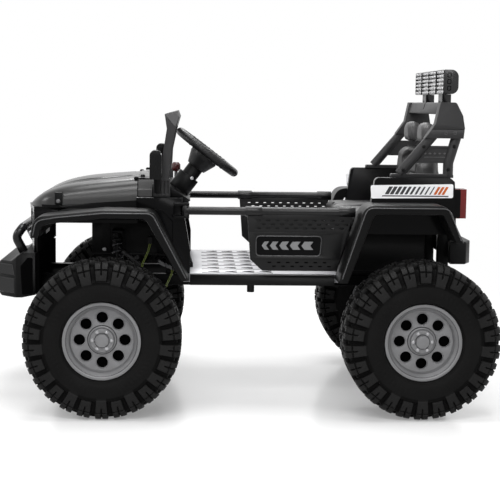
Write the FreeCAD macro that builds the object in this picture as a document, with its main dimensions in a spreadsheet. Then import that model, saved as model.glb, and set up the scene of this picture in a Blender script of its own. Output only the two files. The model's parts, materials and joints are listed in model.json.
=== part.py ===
import FreeCAD, Part
import math
import os
import Sketcher

# A child's two-seat battery ride-on 4x4, modelled at its own size in millimetres.
# +X points to the nose, +Y to the child's left, +Z up; the wheels stand on Z = 0
# and X = 0, Y = 0 is the middle of the whole outline.

VECTOR = FreeCAD.Vector
SIZES = {
    "drawing": {"through": 1.0},
    "wheels and axles": {
        "front_axle_x": 367.0, "wheelbase": 850.0, "track_half": 372.0,
        "tyre_radius": 210.0, "carcass_radius": 203.0, "tyre_width": 176.0,
        "bead_half": 70.0, "bulge_radius": 136.0, "bulge_low_radius": 116.0,
        "shoulder_half": 74.0, "lug_count": 26.0, "lug_length": 33.0,
        "lug_inner_radius": 160.0, "lug_root_radius": 186.0, "lug_middle": 8.0,
        "rim_radius": 100.0, "rim_half": 74.0, "rim_lip": 3.0, "rim_wall": 7.0,
        "rim_step_radius": 86.0, "rim_step": 12.0, "rim_recess": 29.0, "disc_wall": 8.0,
        "vent_count": 8.0, "vent_radius": 15.0, "vent_pitch_radius": 60.0,
        "hub_radius": 34.0, "hub_inner_length": 43.0, "hub_height": 11.0,
        "cap_radius": 18.0, "cap_height": 8.0, "cap_sides": 8.0,
        "nut_count": 6.0, "nut_radius": 4.5, "nut_pitch_radius": 25.0, "nut_height": 4.0,
        "spindle_radius": 8.0, "bearing_gap": 0.05, "seat_gap": 0.3,
        "kingpin_y": 245.0, "kingpin_radius": 6.0, "knuckle_radius": 13.0,
        "knuckle_half_height": 31.7, "yoke_wall": 8.0, "yoke_out": 9.5, "yoke_in": 25.0,
        "yoke_half_x": 14.0, "axle_tube_radius": 20.0,
        "gearbox_radius": 80.0, "gearbox_inner_y": 266.0, "gearbox_gap": 4.0,
        "gearbox_neck_radius": 58.0, "gearbox_shell": 72.0,
    },
    "steel frame": {
        "rail_y": 115.0, "rail_width": 30.0, "rail_bottom_z": 318.0, "rail_height": 30.0,
        "rail_front": 197.0, "rail_rear": 115.0, "cross_width": 40.0,
        "battery_top_z": 498.0, "post_width": 26.0, "tower_x": 25.0,
        "tower_length": 30.0, "tower_top_z": 478.0,
        "tower_wall": 8.0, "tower_reach": 186.0, "tower_post_width": 14.0,
        "tray_wall": 8.0, "tray_rear": 187.0, "tray_rise": 60.0,
        "rear_post_length": 30.0, "rear_post_back": 106.0,
    },
    "springs": {
        "shock_y": 165.0, "spring_radius": 16.0, "spring_core": 9.0,
        "spring_turns": 6.0, "shock_eye": 14.0, "shock_seat_half": 15.0,
    },
    "floor and sills": {
        "floor_top_z": 372.0, "floor_wall": 24.0, "floor_half_y": 285.0,
        "floor_front": 212.0, "seat_front_gap": 200.0,
        "sill_width": 20.0, "sill_drop": 30.0, "sill_inset": 18.0, "sill_lip": 2.0,
        "peg_bottom_z": 323.0, "peg_from_axle": 396.0,
        "pedal_x": 212.0, "pedal_width": 60.0, "pedal_length": 26.0, "pedal_wall": 6.0,
        "pedal_rise": 62.0,
    },
    "body walls": {
        "wall_out_y": 292.0, "wall_thickness": 30.0,
        "cowl_rear_low": 230.0, "cowl_rear_low_z": 436.0, "cowl_rear_mid": 213.0,
        "cowl_rear_mid_z": 532.0, "cowl_rear_top": 207.0, "deck_z": 578.0,
        "deck_wall": 18.0, "cowl_front": 83.0, "cowl_arch_x": 124.0, "cowl_arch_z": 530.0,
        "cowl_leg_front": 197.0, "firewall_wall": 12.0, "cowl_block_rear": 124.0,
    },
    "hood": {
        "hood_low_z": 544.0, "hood_half_low": 230.0, "hood_half_high": 206.0,
        "hood_inner_half": 150.0, "bulge_half": 100.0, "hood_length": 307.0,
        "hood_shoulder_z": 627.0, "hood_top_z": 632.0, "hood_waist_part": 0.62,
        "hood_waist_in": 5.0, "hood_slope": 34.0, "hood_brow_fall": 46.0,
        "hood_brow_power": 7.0, "hood_top_slope": 18.0, "hood_top_fall": 66.0,
        "hood_top_power": 4.2, "hood_narrowing": 112.0, "hood_narrow_power": 11.0, "hood_hollow_front": 100.0,
        "hood_hollow_z": 578.0, "hood_hollow_half": 178.0,
        "catch_front": 143.0, "catch_length": 20.0, "catch_height": 34.0,
        "catch_out": 4.0,
    },
    "front end": {
        "grille_back": 193.0, "grille_top_front": 229.0, "grille_low_front": 213.0,
        "grille_low_z": 417.3, "grille_half": 205.0, "grille_corner_y": 70.0,
        "grille_corner_x": 203.0, "grille_bar": 9.0,
        "grille_gap": 11.0, "grille_bars": 4.0, "grille_open_half": 96.0,
        "grille_open_low_z": 462.0, "lamp_radius": 34.0, "lamp_y": 136.0, "lamp_z": 503.0,
        "lamp_face": 211.0,
        "bumper_back": 197.0, "bumper_nose": 326.0, "bumper_half": 225.0,
        "bumper_low_z": 292.0, "bumper_top_z": 392.0, "bumper_ledge_z": 417.0,
        "bumper_ledge_front": 236.0, "bumper_ledge_low": 268.0, "bumper_chamfer": 27.0,
        "bumper_nose_half": 150.0, "bumper_wing": 250.0, "bumper_lip": 8.0,
        "bull_radius": 12.5, "bull_y": 150.0, "bull_foot": 232.0, "bull_foot_z": 400.0,
        "bull_out": 261.0, "bull_out_z": 454.0, "bull_top": 243.0, "bull_top_z": 480.0,
        "bull_bend": 21.0, "cheek_wall": 10.0, "cheek_low_z": 500.0,
    },
    "front fender": {
        "fender_out_y": 408.0, "fender_wall": 22.0, "fender_top_z": 552.0,
        "ff_leg_x": 228.0, "ff_leg_z": 366.0, "ff_knee_x": 134.0, "ff_knee_round": 46.0,
        "ff_brow_x": 124.0, "ff_brow_z": 539.0, "ff_tip_x": 182.0, "ff_tip_z": 532.0,
        "ff_tip_round": 50.0, "ff_end_x": 190.0, "ff_end_z": 478.0,
        "marker_length": 30.0, "marker_height": 16.0, "marker_out": 6.0,
    },
    "rear fender": {
        "rf_leg_x": 224.0, "rf_leg_z": 363.0, "rf_knee_x": 157.0, "rf_top_z": 572.0,
        "rf_knee_round": 42.0, "rf_brow_x": 62.0, "rf_brow_round": 36.0,
        "rf_end_x": 109.0, "rf_end_z": 473.0, "rf_wall": 25.0,
    },
    "rear tub": {
        "tub_out_y": 294.0, "tub_wall": 28.0, "tub_top_z": 639.0, "tub_front_top": 117.0,
        "tub_front_x": 140.0, "tub_deck_z": 498.0, "tub_deck_wall": 14.0,
        "tub_back_x": 109.0, "tub_corner_x": 101.0, "tub_corner_z": 629.0,
        "tub_top_rear": 90.0, "tub_round": 13.0, "tub_back_wall": 26.0,
        "seat_base_half": 200.0, "seat_base_back": 39.0, "riser_wall": 15.0,
        "tail_y": 236.0, "tail_depth": 26.0, "tail_low_z": 529.0, "tail_top_z": 609.0,
        "tail_width": 54.0, "tail_frame": 7.0,
        "rear_bumper_depth": 35.0, "rear_bumper_low_z": 402.0,
        "rear_bumper_height": 63.0, "rear_bumper_half": 290.0, "rear_bumper_taper": 18.0,
        "rear_wing_y": 262.0, "rear_wing_x": 93.0,
    },
    "seats": {
        "cushion_half": 112.0, "seat_y": 118.0, "cushion_front": 212.0,
        "cushion_back": -2.0, "cushion_height": 41.0, "cushion_round": 18.0,
        "back_foot_x": -8.0, "back_head_x": 22.0, "back_thick": 56.0, "back_top_z": 724.0,
        "back_half": 100.0, "back_top_half": 62.0,
        "head_half": 54.0, "head_thick": 42.0, "head_x": 28.0, "head_top_z": 792.0,
        "head_round": 17.0,
    },
    "roll bar": {
        "roll_in_y": 243.0, "roll_out_y": 281.0, "roll_y": 262.0, "roll_tube_radius": 14.0,
        "crown_top_z": 845.0, "crown_top_front": 59.0, "crown_top_rear": 102.0,
        "crown_back_x": 121.0, "crown_back_z": 809.0, "crown_rear_x": 127.0,
        "crown_rear_z": 775.0, "crown_low_rear": 124.0, "crown_low_z": 747.0,
        "crown_low_front": 19.0, "crown_brow_x": 47.0, "crown_brow_z": 787.0,
        "crown_round": 9.0, "crease_z": 770.0, "crease_height": 2.5, "crease_depth": 1.5,
        "leg_foot_x": 47.0, "leg_foot_z": 648.0, "leg_head_x": 52.0, "leg_head_z": 765.0,
        "stay_foot_x": 87.0, "stay_knee_z": 680.0, "stay_mid_x": 105.0,
        "stay_mid_z": 742.0, "stay_head_x": 110.0, "stay_head_z": 764.0,
        "stay_bend": 40.0, "foot_rail_front": 72.0, "foot_rail_rear": 100.0,
        "foot_rail_height": 10.0, "foot_rail_half": 12.0, "foot_round": 4.0,
        "plate_half": 5.0, "plate_front_x": 24.0, "plate_low_z": 679.0,
        "plate_top_x": 29.0, "plate_top_z": 726.0, "plate_rim": 7.0,
        "plate_recess": 2.0, "plate_nose_rim": 21.0,
        "header_low_z": 812.0, "header_front_top": 66.0, "header_front_low": 56.0,
        "header_back": 104.0, "notch_half": 4.0, "notch_depth": 5.0, "notch_low_z": 826.0,
    },
    "lamp bar": {
        "bar_front": 74.0, "bar_back": 116.0, "bar_low_z": 868.0, "bar_top_z": 935.0,
        "bar_half": 230.0, "bar_gap": 6.0, "bar_round": 20.0, "bar_edge": 3.0,
        "led_rows": 6.0, "led_columns": 2.0, "led_panels": 2.0, "led_gap": 4.5,
        "panel_gap": 26.0, "led_depth": 3.0,
        "foot_y": 130.0, "foot_width": 60.0, "foot_front": 85.0, "foot_back": 110.0,
    },
    "windscreen frame": {
        "screen_in_y": 232.0, "screen_out_y": 262.0, "base_rear": 174.0,
        "base_front": 128.0, "base_top_z": 628.0, "post_rear_low": 170.0,
        "post_front_low": 151.0, "post_knee_z": 693.0, "post_knee_rear": 173.0,
        "post_knee_front": 153.0, "neck_z": 764.0, "neck_rear": 188.0, "neck_front": 164.0,
        "header_front": 158.0, "header_front_z": 804.0, "header_top": 190.0,
        "header_top_z": 813.0, "header_rear": 197.0, "header_rear_z": 795.0,
        "screen_head_z": 768.0, "rib_pitch": 10.0, "rib_width": 3.0, "rib_depth": 2.0,
        "rib_count": 4.0, "rib_low_z": 586.0, "rib_top_z": 622.0,
    },
    "mirrors": {
        "mirror_front": 120.0, "mirror_rear": 151.0, "mirror_low_z": 630.0,
        "mirror_top_z": 707.0, "mirror_in_y": 270.0, "mirror_out_y": 334.0,
        "mirror_round": 13.0, "stalk_front": 131.0, "stalk_rear": 147.0,
        "stalk_low_z": 590.0, "stalk_top_z": 652.0,
    },
    "dash and steering": {
        "dash_rear_x": 228.0, "dash_rear_z": 568.0, "dash_low_x": 212.0,
        "dash_low_z": 541.0, "dash_top_x": 173.0, "dash_top_z": 606.0, "dash_gap": 0.3,
        "wheel_hub_back": 276.0, "wheel_hub_z": 697.0, "driver_y": 120.0,
        "column_lean": 37.0, "wheel_ring_radius": 95.0, "wheel_grip_radius": 11.5,
        "wheel_hub_radius": 42.0, "wheel_hub_shoulder": 20.0, "wheel_hub_neck": 28.0,
        "spoke_width": 28.0, "spoke_wall": 12.0, "column_radius": 23.0,
        "column_top": 54.0, "column_collar": 84.0, "collar_radius": 31.0,
        "column_length": 94.0, "shaft_radius": 8.0, "shaft_length": 60.0,
        "lever_x": 186.0, "lever_radius": 5.0, "lever_top_z": 636.0,
        "knob_radius": 13.0, "knob_shoulder": 19.5,
    },
    "doors": {
        "hinge_from_axle": 217.0, "door_y": 317.0, "rail_tube_radius": 11.0,
        "rail_front_z": 546.0, "rail_rear_from_axle": 174.0,
        "sleeve_radius": 14.0, "sleeve_length": 44.0, "sleeve_front_offset": 162.0,
        "eye_radius": 10.0, "eye_height": 28.0, "pin_radius": 4.0, "pin_gap": 0.05,
        "lug_wall": 6.0, "lug_gap": 0.3, "lug_front": 184.0,
        "panel_wall": 14.0, "panel_top_front": 383.2, "panel_top_rear": 178.0,
        "panel_low_rear": 221.0, "panel_low_z": 385.0, "panel_low_front": 426.0,
        "panel_cut_x": 393.0, "panel_cut_z": 415.0,
        "slot_pitch": 25.0, "slot_length": 10.0, "slot_height": 4.0, "slot_rows": 3.0,
        "slot_row_pitch": 10.6, "slot_top_z": 524.0, "slot_count": 10.0,
        "low_slot_top_z": 410.0, "low_slot_rows": 2.0, "low_slot_count": 7.0,
        "low_slot_front": 440.0, "low_slot_depth": 2.0,
        "band_low_z": 418.0, "band_top_z": 490.0, "band_slope": 6.0, "band_out": 3.0,
        "sign_recess": 2.0, "sign_low_z": 424.0, "sign_top_z": 482.0, "sign_round": 8.0,
        "sign_front": 410.0, "sign_rear": 262.0,
    },
}


class Length:
    """A size with the sheet expression that gives it."""

    def __init__(self, value, text):
        self.value = float(value)
        self.text = text

    def _join(self, other, sign, value):
        return Length(value, "(%s %s %s)" % (self.text, sign, other.text))

    def __add__(self, other):
        other = as_length(other)
        return self._join(other, "+", self.value + other.value)

    def __sub__(self, other):
        other = as_length(other)
        return self._join(other, "-", self.value - other.value)

    def __mul__(self, other):
        other = as_length(other)
        return self._join(other, "*", self.value * other.value)

    def __truediv__(self, other):
        other = as_length(other)
        return self._join(other, "/", self.value / other.value)

    def __neg__(self):
        return Length(-self.value, "(0 - %s)" % self.text)


def as_length(value):
    """Turn a plain number into a Length."""
    if isinstance(value, Length):
        return value
    return Length(value, repr(float(value)))


class SizeSheet:
    """The spreadsheet of driving sizes, read as attributes."""

    def __init__(self, document, sections):
        self.sheet = document.addObject("Spreadsheet::Sheet", "Sizes")
        row = 1
        for title, names in sections.items():
            self.sheet.set("A%d" % row, title)
            row += 1
            for name, value in names.items():
                self.sheet.set("A%d" % row, name)
                self.sheet.set("B%d" % row, repr(value))
                self.sheet.setAlias("B%d" % row, name)
                setattr(self, name, Length(value, "Sizes." + name))
                row += 1


document = FreeCAD.newDocument("RideOn")
S = SizeSheet(document, SIZES)
document.recompute()

FRONT = S.front_axle_x
REAR = S.front_axle_x - S.wheelbase
CENTRE = S.track_half * 0
PLANES = {"XY": (1.0, False), "XZ": (-1.0, True), "YZ": (1.0, False)}
nodes = []


def node(shape_object, label):
    """Name a finished sub-part and keep it for the export."""
    shape_object.Label = label
    nodes.append(shape_object)
    return shape_object


def bind(target, field, length):
    """Drive one property of an object from the sheet."""
    target.setExpression(field, as_length(length).text)


def new_body(name):
    return document.addObject("PartDesign::Body", name)


def origin_plane(body, plane):
    return [item for item in body.Origin.OriginFeatures if item.Role == plane + "_Plane"][0]


def fix_point(sketch, geometry, spot, across, up):
    """Hold one sketch point at two driven distances from the sketch's origin."""
    for kind, length in (("DistanceX", across), ("DistanceY", up)):
        index = sketch.addConstraint(Sketcher.Constraint(kind, -1, 1, geometry, spot, length.value))
        sketch.setExpression("Constraints[%d]" % index, length.text)


def draw_polygon(sketch, points):
    """Draw a closed outline of driven points; a third value rounds that corner."""
    spots = [[as_length(value) for value in point] for point in points]
    count = len(spots)
    corner = [VECTOR(spot[0].value, spot[1].value, 0) for spot in spots]
    radius = [spot[2].value if len(spot) > 2 else 0.0 for spot in spots]
    starts, ends, bends = [], [], []
    for index in range(count):
        before = corner[index - 1].sub(corner[index]).normalize()
        after = corner[(index + 1) % count].sub(corner[index]).normalize()
        if radius[index] > 0:
            half = before.getAngle(after) / 2
            reach = radius[index] / math.tan(half)
            ends.append(corner[index] + before * reach)
            starts.append(corner[index] + after * reach)
            middle = (before + after).normalize() * (radius[index] / math.sin(half))
            bends.append(corner[index] + middle)
        else:
            ends.append(corner[index])
            starts.append(corner[index])
            bends.append(None)
    first = sketch.GeometryCount
    for index in range(count):
        line = Part.LineSegment(starts[index], ends[(index + 1) % count])
        sketch.addGeometry(line, False)
    for index in range(count):
        before_line = first + (index - 1) % count
        after_line = first + index
        if bends[index] is None:
            sketch.addConstraint(Sketcher.Constraint("Coincident", before_line, 2, after_line, 1))
            fix_point(sketch, after_line, 1, spots[index][0], spots[index][1])
            continue
        centre = bends[index]
        angles = [math.atan2(p.y - centre.y, p.x - centre.x) for p in (ends[index], starts[index])]
        turn = (angles[1] - angles[0]) % (2 * math.pi)
        left = turn < math.pi
        if not left:
            angles.reverse()
        circle = Part.Circle(centre, VECTOR(0, 0, 1), radius[index])
        arc = sketch.addGeometry(Part.ArcOfCircle(circle, angles[0], angles[1]), False)
        arc_in, arc_out = (1, 2) if left else (2, 1)
        sketch.addConstraint(Sketcher.Constraint("Tangent", before_line, 2, arc, arc_in))
        sketch.addConstraint(Sketcher.Constraint("Tangent", arc, arc_out, after_line, 1))
        round_index = sketch.addConstraint(Sketcher.Constraint("Radius", arc, radius[index]))
        sketch.setExpression("Constraints[%d]" % round_index, spots[index][2].text)
        point = sketch.addGeometry(Part.Point(corner[index]), True)
        sketch.addConstraint(Sketcher.Constraint("PointOnObject", point, 1, before_line))
        sketch.addConstraint(Sketcher.Constraint("PointOnObject", point, 1, after_line))
        fix_point(sketch, point, 1, spots[index][0], spots[index][1])


def draw_circle(sketch, across, up, radius):
    across, up, radius = as_length(across), as_length(up), as_length(radius)
    circle = Part.Circle(VECTOR(across.value, up.value, 0), VECTOR(0, 0, 1), radius.value)
    index = sketch.addGeometry(circle, False)
    bound = sketch.addConstraint(Sketcher.Constraint("Radius", index, radius.value))
    sketch.setExpression("Constraints[%d]" % bound, radius.text)
    fix_point(sketch, index, 3, across, up)


def new_sketch(body, plane, offset, loops):
    """A sketch on an origin plane, moved along that plane's world axis by offset."""
    offset = as_length(offset)
    sketch = body.newObject("Sketcher::SketchObject", body.Name + "_outline")
    sketch.AttachmentSupport = [(origin_plane(body, plane), "")]
    sketch.MapMode = "FlatFace"
    if PLANES[plane][0] < 0:
        offset = -offset
    sketch.setExpression("AttachmentOffset.Base.z", offset.text)
    for loop in loops:
        if loop[0] == "circle":
            draw_circle(sketch, loop[1], loop[2], loop[3])
        else:
            draw_polygon(sketch, loop)
    return sketch


def pad(body, plane, low, high, *loops):
    """Add the outline's prism from low to high along the plane's world axis."""
    sketch = new_sketch(body, plane, low, loops)
    feature = body.newObject("PartDesign::Pad", body.Name + "_pad")
    feature.Profile = sketch
    feature.Reversed = PLANES[plane][1]
    bind(feature, "Length", as_length(high) - low)
    body.Tip = feature
    return feature


def pocket(body, plane, low, high, *loops):
    """Cut the outline's prism from low to high along the plane's world axis."""
    sketch = new_sketch(body, plane, low, loops)
    feature = body.newObject("PartDesign::Pocket", body.Name + "_pocket")
    feature.Profile = sketch
    feature.Reversed = not PLANES[plane][1]
    bind(feature, "Length", as_length(high) - low)
    body.Tip = feature
    return feature


def revolve(body, plane, points, axis="V_Axis", cut=False):
    """Turn an outline about the sketch's own vertical or horizontal axis."""
    sketch = new_sketch(body, plane, 0, [points])
    kind = "PartDesign::Groove" if cut else "PartDesign::Revolution"
    feature = body.newObject(kind, body.Name + "_turned")
    feature.Profile = sketch
    feature.ReferenceAxis = (sketch, [axis])
    feature.Angle = 360.0
    body.Tip = feature
    return feature


def ring_of(body, feature, plane, count):
    """Repeat a feature round the axis square to the plane."""
    axis_role = {"XY": "Z_Axis", "XZ": "Y_Axis", "YZ": "X_Axis"}[plane]
    axis = [item for item in body.Origin.OriginFeatures if item.Role == axis_role][0]
    pattern = body.newObject("PartDesign::PolarPattern", body.Name + "_ring")
    pattern.Originals = [feature]
    pattern.Axis = (axis, [""])
    pattern.Angle = 360.0
    bind(pattern, "Occurrences", count)
    body.Tip = pattern
    return pattern


def box_loop(across_low, across_high, up_low, up_high):
    return [(across_low, up_low), (across_high, up_low), (across_high, up_high), (across_low, up_high)]


def mirrored(source, name):
    """The right-hand twin of a left-hand piece."""
    twin = document.addObject("Part::Mirroring", name)
    twin.Source = source
    twin.Normal = VECTOR(0, 1, 0)
    return twin


def moving_pair(source, stem):
    """A left-hand piece and its right-hand twin, which move by themselves."""
    node(source, stem + "_left")
    node(mirrored(source, stem + "Twin"), stem + "_right")


def joined(pieces, label):
    """Like pieces that stand apart on the same body, kept as one sub-part."""
    group = document.addObject("Part::Compound", label + "_group")
    group.Links = pieces
    return node(group, label)


def pair(source, label):
    """A left-hand piece and its right-hand twin, fixed to the same body."""
    return joined([source, mirrored(source, label + "_twin")], label)


def placed(source, name, across, side, up, turned):
    """A copy of a shared piece, set at its own place and turned outward."""
    copy = document.addObject("App::Link", name)
    copy.LinkedObject = source
    angle = 180.0 if turned else 0.0
    copy.Placement = FreeCAD.Placement(VECTOR(0, 0, 0), FreeCAD.Rotation(VECTOR(0, 0, 1), angle))
    bind(copy, "Placement.Base.x", across)
    bind(copy, "Placement.Base.y", side)
    bind(copy, "Placement.Base.z", up)
    return copy


def cut_by(base, tool, name):
    """The base piece with its seat cut by the piece that it meets."""
    seated = document.addObject("Part::Cut", name)
    seated.Base = base
    seated.Tool = tool
    return seated


# Tyre: a turned carcass with a zig-zag of lugs wrapped over each shoulder.
TYRE_HALF = S.tyre_width / 2
tyre = new_body("Tyre")
FLANGE_CLEAR = S.rim_radius + S.rim_lip + S.seat_gap
revolve(tyre, "XY", [
    (S.rim_radius + S.seat_gap, -S.bead_half),
    (FLANGE_CLEAR, -S.bead_half),
    (S.bulge_low_radius, -TYRE_HALF + S.rim_lip),
    (S.bulge_radius, -TYRE_HALF),
    (S.lug_inner_radius, -TYRE_HALF + S.rim_lip),
    (S.carcass_radius, -S.shoulder_half),
    (S.carcass_radius, S.shoulder_half),
    (S.lug_inner_radius, TYRE_HALF - S.rim_lip),
    (S.bulge_radius, TYRE_HALF),
    (S.bulge_low_radius, TYRE_HALF - S.rim_lip),
    (FLANGE_CLEAR, S.bead_half),
    (S.rim_radius + S.seat_gap, S.bead_half),
])
LUG_HALF = S.lug_length / 2
HALF_PITCH = as_length(180.0) / S.lug_count
for side in (1, -1):
    lug = pad(tyre, "XY", -LUG_HALF, LUG_HALF, [
        (S.lug_inner_radius, S.shoulder_half * side),
        (S.lug_inner_radius, (TYRE_HALF - S.seat_gap) * side),
        (S.tyre_radius, (TYRE_HALF - S.rim_lip * 2) * side),
        (S.tyre_radius, S.lug_middle * side),
        (S.lug_root_radius, S.lug_middle * side),
        (S.lug_root_radius, (S.shoulder_half - S.lug_middle) * side),
    ])
    if side < 0:
        half_turn = FreeCAD.Rotation(VECTOR(0, 1, 0), HALF_PITCH.value)
        lug_plane = lug.Profile[0]
        lug_plane.AttachmentOffset = FreeCAD.Placement(VECTOR(0, 0, 0), half_turn)
        bind(lug_plane, "AttachmentOffset.Rotation.Angle", HALF_PITCH)
        angle_text = "(%s * 1deg)" % HALF_PITCH.text
        for field, trade in (("x", "sin"), ("z", "cos")):
            shift = "-%s * %s(%s)" % (LUG_HALF.text, trade, angle_text)
            lug_plane.setExpression("AttachmentOffset.Base." + field, shift)
    ring_of(tyre, lug, "XZ", S.lug_count)

# Rim: a turned barrel and recessed disc with round vents, hub cap and wheel nuts.
rim = new_body("Rim")
DISC_FRONT = S.rim_half - S.rim_recess
DISC_BACK = DISC_FRONT - S.disc_wall
HUB_TOP = DISC_FRONT + S.hub_height
BARREL_IN = S.rim_radius - S.rim_wall
BORE = S.spindle_radius + S.bearing_gap
SPINDLE_END = DISC_FRONT + S.bearing_gap
revolve(rim, "XY", [
    (BORE, DISC_BACK - S.hub_inner_length),
    (S.hub_radius, DISC_BACK - S.hub_inner_length),
    (S.hub_radius, DISC_BACK),
    (BARREL_IN, DISC_BACK),
    (BARREL_IN, -S.rim_half),
    (S.rim_radius + S.rim_lip, -S.rim_half),
    (S.rim_radius + S.rim_lip, -S.bead_half - S.seat_gap),
    (S.rim_radius, -S.bead_half - S.seat_gap),
    (S.rim_radius, S.bead_half + S.seat_gap),
    (S.rim_radius + S.rim_lip, S.bead_half + S.seat_gap),
    (S.rim_radius + S.rim_lip, S.rim_half),
    (S.rim_radius - S.rim_lip, S.rim_half),
    (S.rim_step_radius, S.rim_half - S.rim_step),
    (S.rim_step_radius - S.rim_lip, DISC_FRONT),
    (S.hub_radius, DISC_FRONT),
    (S.hub_radius - S.rim_lip, HUB_TOP),
    (CENTRE, HUB_TOP),
    (CENTRE, SPINDLE_END),
    (BORE, SPINDLE_END),
])
vent = pocket(rim, "XZ", DISC_BACK - S.through, DISC_FRONT + S.through,
              ("circle", S.vent_pitch_radius, CENTRE, S.vent_radius))
ring_of(rim, vent, "XZ", S.vent_count)
cap_outline = []
CAP_SIDES = int(S.cap_sides.value)
for index in range(CAP_SIDES):
    angle = 2 * math.pi * (index + 0.5) / CAP_SIDES
    cap_outline.append((S.cap_radius * math.cos(angle), S.cap_radius * math.sin(angle)))
pad(rim, "XZ", HUB_TOP, HUB_TOP + S.cap_height, cap_outline)
nut = pad(rim, "XZ", HUB_TOP, HUB_TOP + S.nut_height,
          ("circle", S.nut_pitch_radius, CENTRE, S.nut_radius))
ring_of(rim, nut, "XZ", S.nut_count)

# Gearbox: a turned housing round the spindle, its back rim stepped down.
gearbox = new_body("Gearbox")
GEARBOX_OUT = DISC_BACK - S.hub_inner_length - S.gearbox_gap
GEARBOX_IN = S.gearbox_inner_y - S.track_half
revolve(gearbox, "XY", [
    (S.spindle_radius, GEARBOX_IN),
    (S.gearbox_shell, GEARBOX_IN),
    (S.gearbox_radius, GEARBOX_IN + S.rim_wall),
    (S.gearbox_radius, GEARBOX_OUT - S.hub_radius),
    (S.gearbox_neck_radius, GEARBOX_OUT),
    (S.spindle_radius, GEARBOX_OUT),
])

drives = {"front": [], "rear": []}
for place, axle_x in (("front", FRONT), ("rear", REAR)):
    for side_name, side in (("left", 1), ("right", -1)):
        tail = "_%s_%s" % (place, side_name)
        turned = side < 0
        for source, stem in ((tyre, "tyre"), (rim, "rim")):
            copy = placed(source, stem + tail, axle_x, S.track_half * side, S.tyre_radius, turned)
            node(copy, stem + tail)
        drives[place].append(placed(gearbox, "Drive" + tail, axle_x, S.track_half * side,
                                    S.tyre_radius, turned))
node(drives["front"][0], "gearbox_front_left")
node(drives["front"][1], "gearbox_front_right")
joined(drives["rear"], "gearboxes_rear")

# Knuckle: an upright boss on the kingpin with the wheel's spindle.
knuckle = new_body("Knuckle")
AXLE_Z = S.tyre_radius
KNUCKLE_LOW = AXLE_Z - S.knuckle_half_height
KNUCKLE_HIGH = AXLE_Z + S.knuckle_half_height
SPINDLE_TIP = S.track_half + DISC_FRONT - S.seat_gap
pad(knuckle, "XY", KNUCKLE_LOW, KNUCKLE_HIGH, ("circle", FRONT, S.kingpin_y, S.knuckle_radius))
pad(knuckle, "XZ", S.kingpin_y, S.gearbox_inner_y,
    box_loop(FRONT - S.knuckle_radius, FRONT + S.knuckle_radius,
             AXLE_Z - S.axle_tube_radius, AXLE_Z + S.axle_tube_radius))
pocket(knuckle, "XY", KNUCKLE_LOW - S.through, KNUCKLE_HIGH + S.through,
       ("circle", FRONT, S.kingpin_y, S.kingpin_radius + S.bearing_gap))
pad(knuckle, "XZ", S.gearbox_inner_y, SPINDLE_TIP, ("circle", FRONT, AXLE_Z, S.spindle_radius))
moving_pair(knuckle, "knuckle")

# Front axle: a tube with a yoke and kingpin at each end, spring seats and frame pedestals.
front_axle = new_body("FrontAxle")
YOKE_IN = S.kingpin_y - S.yoke_in
YOKE_OUT = S.kingpin_y + S.yoke_out
YOKE_LOW = KNUCKLE_LOW - S.seat_gap
YOKE_HIGH = KNUCKLE_HIGH + S.seat_gap
pad(front_axle, "XZ", -YOKE_IN, YOKE_IN, ("circle", FRONT, AXLE_Z, S.axle_tube_radius))
PEDESTAL_IN = S.rail_y - S.rail_width / 2
PEDESTAL_OUT = S.rail_y + S.rail_width / 2
for side in (1, -1):
    pad(front_axle, "YZ", FRONT - S.yoke_half_x, FRONT + S.yoke_half_x, [
        ((YOKE_IN - S.yoke_wall) * side, YOKE_LOW - S.yoke_wall),
        (YOKE_OUT * side, YOKE_LOW - S.yoke_wall),
        (YOKE_OUT * side, YOKE_LOW),
        (YOKE_IN * side, YOKE_LOW),
        (YOKE_IN * side, YOKE_HIGH),
        (YOKE_OUT * side, YOKE_HIGH),
        (YOKE_OUT * side, YOKE_HIGH + S.yoke_wall),
        ((YOKE_IN - S.yoke_wall) * side, YOKE_HIGH + S.yoke_wall),
    ])
    pad(front_axle, "XY", YOKE_LOW - S.yoke_wall, YOKE_HIGH + S.yoke_wall,
        ("circle", FRONT, S.kingpin_y * side, S.kingpin_radius))
    pad(front_axle, "XY", AXLE_Z, S.rail_bottom_z,
        box_loop(FRONT - S.yoke_half_x, FRONT + S.yoke_half_x,
                 PEDESTAL_IN * side, PEDESTAL_OUT * side))
    SEAT_X = FRONT - S.tower_x
    pad(front_axle, "XY", AXLE_Z - S.axle_tube_radius, AXLE_Z + S.axle_tube_radius,
        box_loop(SEAT_X - S.shock_seat_half, FRONT,
                 (S.shock_y - S.shock_seat_half) * side, (S.shock_y + S.shock_seat_half) * side))
node(front_axle, "front_axle")

# Rear axle: a straight tube with its spindles and frame pedestals.
rear_axle = new_body("RearAxle")
pad(rear_axle, "XZ", -S.gearbox_inner_y, S.gearbox_inner_y,
    ("circle", REAR, AXLE_Z, S.axle_tube_radius))
pad(rear_axle, "XZ", -SPINDLE_TIP, SPINDLE_TIP, ("circle", REAR, AXLE_Z, S.spindle_radius))
for side in (1, -1):
    pad(rear_axle, "XY", AXLE_Z, S.rail_bottom_z,
        box_loop(REAR - S.yoke_half_x, REAR + S.yoke_half_x,
                 PEDESTAL_IN * side, PEDESTAL_OUT * side))
node(rear_axle, "rear_axle")

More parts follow.
